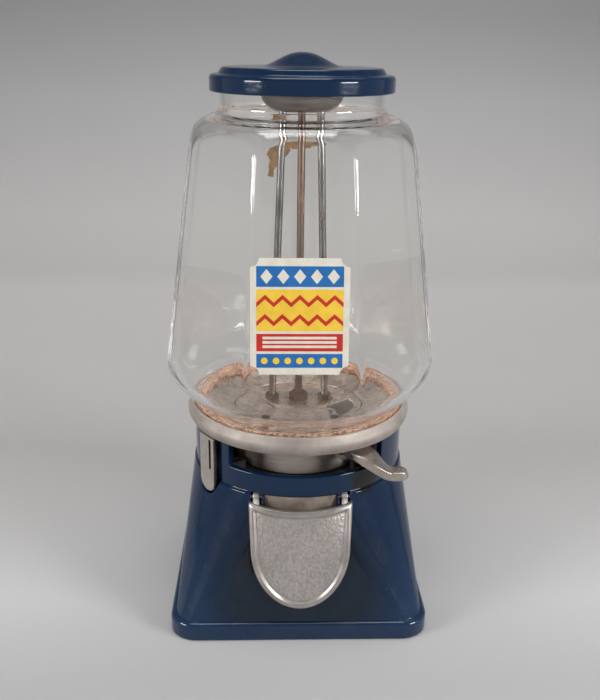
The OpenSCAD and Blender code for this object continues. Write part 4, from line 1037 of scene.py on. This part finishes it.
class VENDOR_OT_stage(bpy.types.Operator):
    """Pale sweep, soft lamps, a grey sky and the camera."""

    bl_idname = "vendor.stage"
    bl_label = "Stage"

    def sweep(self):
        """Floor that curves up into a backdrop: a path in depth and height carried across the width."""
        path = filleted([(-2.5, 0, 0), (1.5, 0, 0.7), (1.7, 2.6, 0)], 24)
        x, y = np.meshgrid(np.linspace(-3, 3, 13), path[:, 0])
        points = np.stack([x, y, np.broadcast_to(path[:, 1, None], x.shape)], -1)
        rows, cols = x.shape
        first = np.arange(rows - 1)[:, None] * cols + np.arange(cols - 1)
        quads = np.stack([first, first + 1, first + cols + 1, first + cols], -1).reshape(-1, 4)
        mesh = bpy.data.meshes.new("sweep")
        mesh.from_pydata(points.reshape(-1, 3).tolist(), [], quads.tolist())
        smooth(mesh)
        mesh.materials.append(self.paper())
        sweep = added("sweep", mesh)

    def paper(self):
        """Pale matt paper whose tone changes with the distance back along the floor and up the backdrop:
        painted light, brighter and darker bands that stand in for the lamps' falloff.
        """
        paper, bsdf, coord = shader("sweep_paper")
        split = axes(coord)
        along = near(coord, "Math", split["Y"], split["Z"]).outputs["Value"]
        # Painted light: the paper's tone rises and falls with distance to stand in for how the lamps light
        # it.
        painted_falloff = ramp(remap(along, -0.5, 2, 0, 1), (0.15, 0.455), (0.185, (0.57, 0.567, 0.567)),
                    (0.28, (0.475, 0.46, 0.455)), (0.5, (0.75, 0.73, 0.72)), (0.66, (0.715, 0.70, 0.695)),
                    (0.85, (0.56, 0.556, 0.558)), (0.97, (0.40, 0.397, 0.40)))
        tone = blend(1, painted_falloff, mottled(coord, 3, 3, 0.97, 1), "MULTIPLY")
        fill(bsdf, Base_Color=tone, Roughness=0.8, Specular_IOR_Level=0.2)
        return paper

    def lamp(self, name, place, target, power, width, height):
        """Rectangular soft lamp that faces a point."""
        light = bpy.data.lights.new(name, "AREA")
        light.shape = "RECTANGLE"
        light.size, light.size_y = width, height
        light.energy = power
        back = np.array(place, float) - np.array(target, float)
        back /= np.linalg.norm(back)
        upright = abs(back[2]) > 0.95
        right = np.cross([0, 1.0, 0] if upright else [0, 0, 1.0], back)
        right /= np.linalg.norm(right)
        self.stand(added(name, light), right, np.cross(back, right), back, place)

    def stand(self, obj, right, up, back, place):
        """Puts an object at a place, turned to three axes."""
        obj.matrix_world = Matrix(np.column_stack([right, up, back, place]).tolist() + [[0, 0, 0, 1]])

    def sky(self, scene):
        """Grey surroundings that darken upwards."""
        world = bpy.data.worlds.new("studio")
        world.use_nodes = True
        tree = world.node_tree
        up = axes(tree.nodes.new("ShaderNodeTexCoord").outputs["Generated"])["Z"]
        dusk = ramp(up, (0, (0.42, 0.415, 0.41)), (0.25, (0.40, 0.395, 0.39)), (0.6, 0.22))
        fill(tree.nodes["Background"], Color=dusk, Strength=1)
        scene.world = world

    def camera(self, scene, p):
        """Camera from the photo's angle, worked out from the sizes that the object shows in it."""
        shift_pixels, picture_pixels = 1.163, 700
        s, c = math.sin(p.turn), math.cos(p.turn)
        forward = np.array([math.cos(p.pitch) * s, math.cos(p.pitch) * c, -math.sin(p.pitch)])
        level = np.array([c, -s, 0])
        rise = np.cross(level, forward)
        right = math.cos(p.roll) * level + math.sin(p.roll) * rise
        up = math.cos(p.roll) * rise - math.sin(p.roll) * level
        data = bpy.data.cameras.new("camera")
        data.lens = p.lens
        data.sensor_width = 36
        data.shift_x = shift_pixels / picture_pixels
        data.clip_start = 0.01
        data.dof.use_dof = False
        obj = added("camera", data)
        self.stand(obj, right, up, -forward, [-p.distance * s, -p.distance * c, p.height])
        scene.camera = obj

    def execute(self, context):
        p = context.scene.vendor_stage
        wide, tall, globe_top = 0.38, 0.2, (0, 0, 0.35)
        self.sweep()
        self.lamp("left_lamp", (-0.88, -0.47, 0.42), globe_top, p.key, wide, tall)
        self.lamp("right_lamp", (0.82, -0.57, 0.42), globe_top, p.fill, wide, tall)
        self.lamp("top_lamp", (-0.05, 0.0, 1.5), (0, 0, 0.1), p.top, 0.9, 0.6)
        self.lamp("back_lamp", (0.45, 0.5, 1.5), (0.45, 1.3, 0.1), p.back, 0.9, 0.4)
        self.sky(context.scene)
        context.scene.view_settings.view_transform = "Standard"
        paths = context.scene.cycles
        paths.max_bounces = paths.transmission_bounces = paths.glossy_bounces = 128
        self.camera(context.scene, p)
        return {"FINISHED"}


class VENDOR_PT_panel(bpy.types.Panel):
    """Sidebar list of the builders."""

    bl_idname = "VENDOR_PT_panel"
    bl_label = "Nut vendor"
    bl_space_type = "VIEW_3D"
    bl_region_type = "UI"
    bl_category = "Vendor"

    def draw(self, context):
        for kind in BUILDERS:
            self.layout.operator(kind.bl_idname)


BUILDERS = (VENDOR_OT_globe, VENDOR_OT_lid, VENDOR_OT_base, VENDOR_OT_ring, VENDOR_OT_flap, VENDOR_OT_lever,
            VENDOR_OT_badge, VENDOR_OT_works, VENDOR_OT_stage)
GROUPS = {"vendor_glass": VendorGlass, "vendor_metal": VendorMetal, "vendor_stage": VendorStage}


def register():
    for kind in (*GROUPS.values(), *BUILDERS, VENDOR_PT_panel):
        bpy.utils.register_class(kind)
    for name, kind in GROUPS.items():
        setattr(bpy.types.Scene, name, PointerProperty(type=kind))


def unregister():
    for name in GROUPS:
        delattr(bpy.types.Scene, name)
    for kind in (VENDOR_PT_panel, *reversed(BUILDERS), *reversed(GROUPS.values())):
        bpy.utils.unregister_class(kind)


def main():
    register()
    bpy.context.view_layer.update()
    bpy.ops.vendor.globe()
    bpy.ops.vendor.lid()
    bpy.ops.vendor.base()
    bpy.ops.vendor.ring()
    bpy.ops.vendor.flap()
    bpy.ops.vendor.lever()
    bpy.ops.vendor.badge()
    bpy.ops.vendor.works()
    bpy.ops.vendor.stage()


if __name__ == "__main__":
    main()
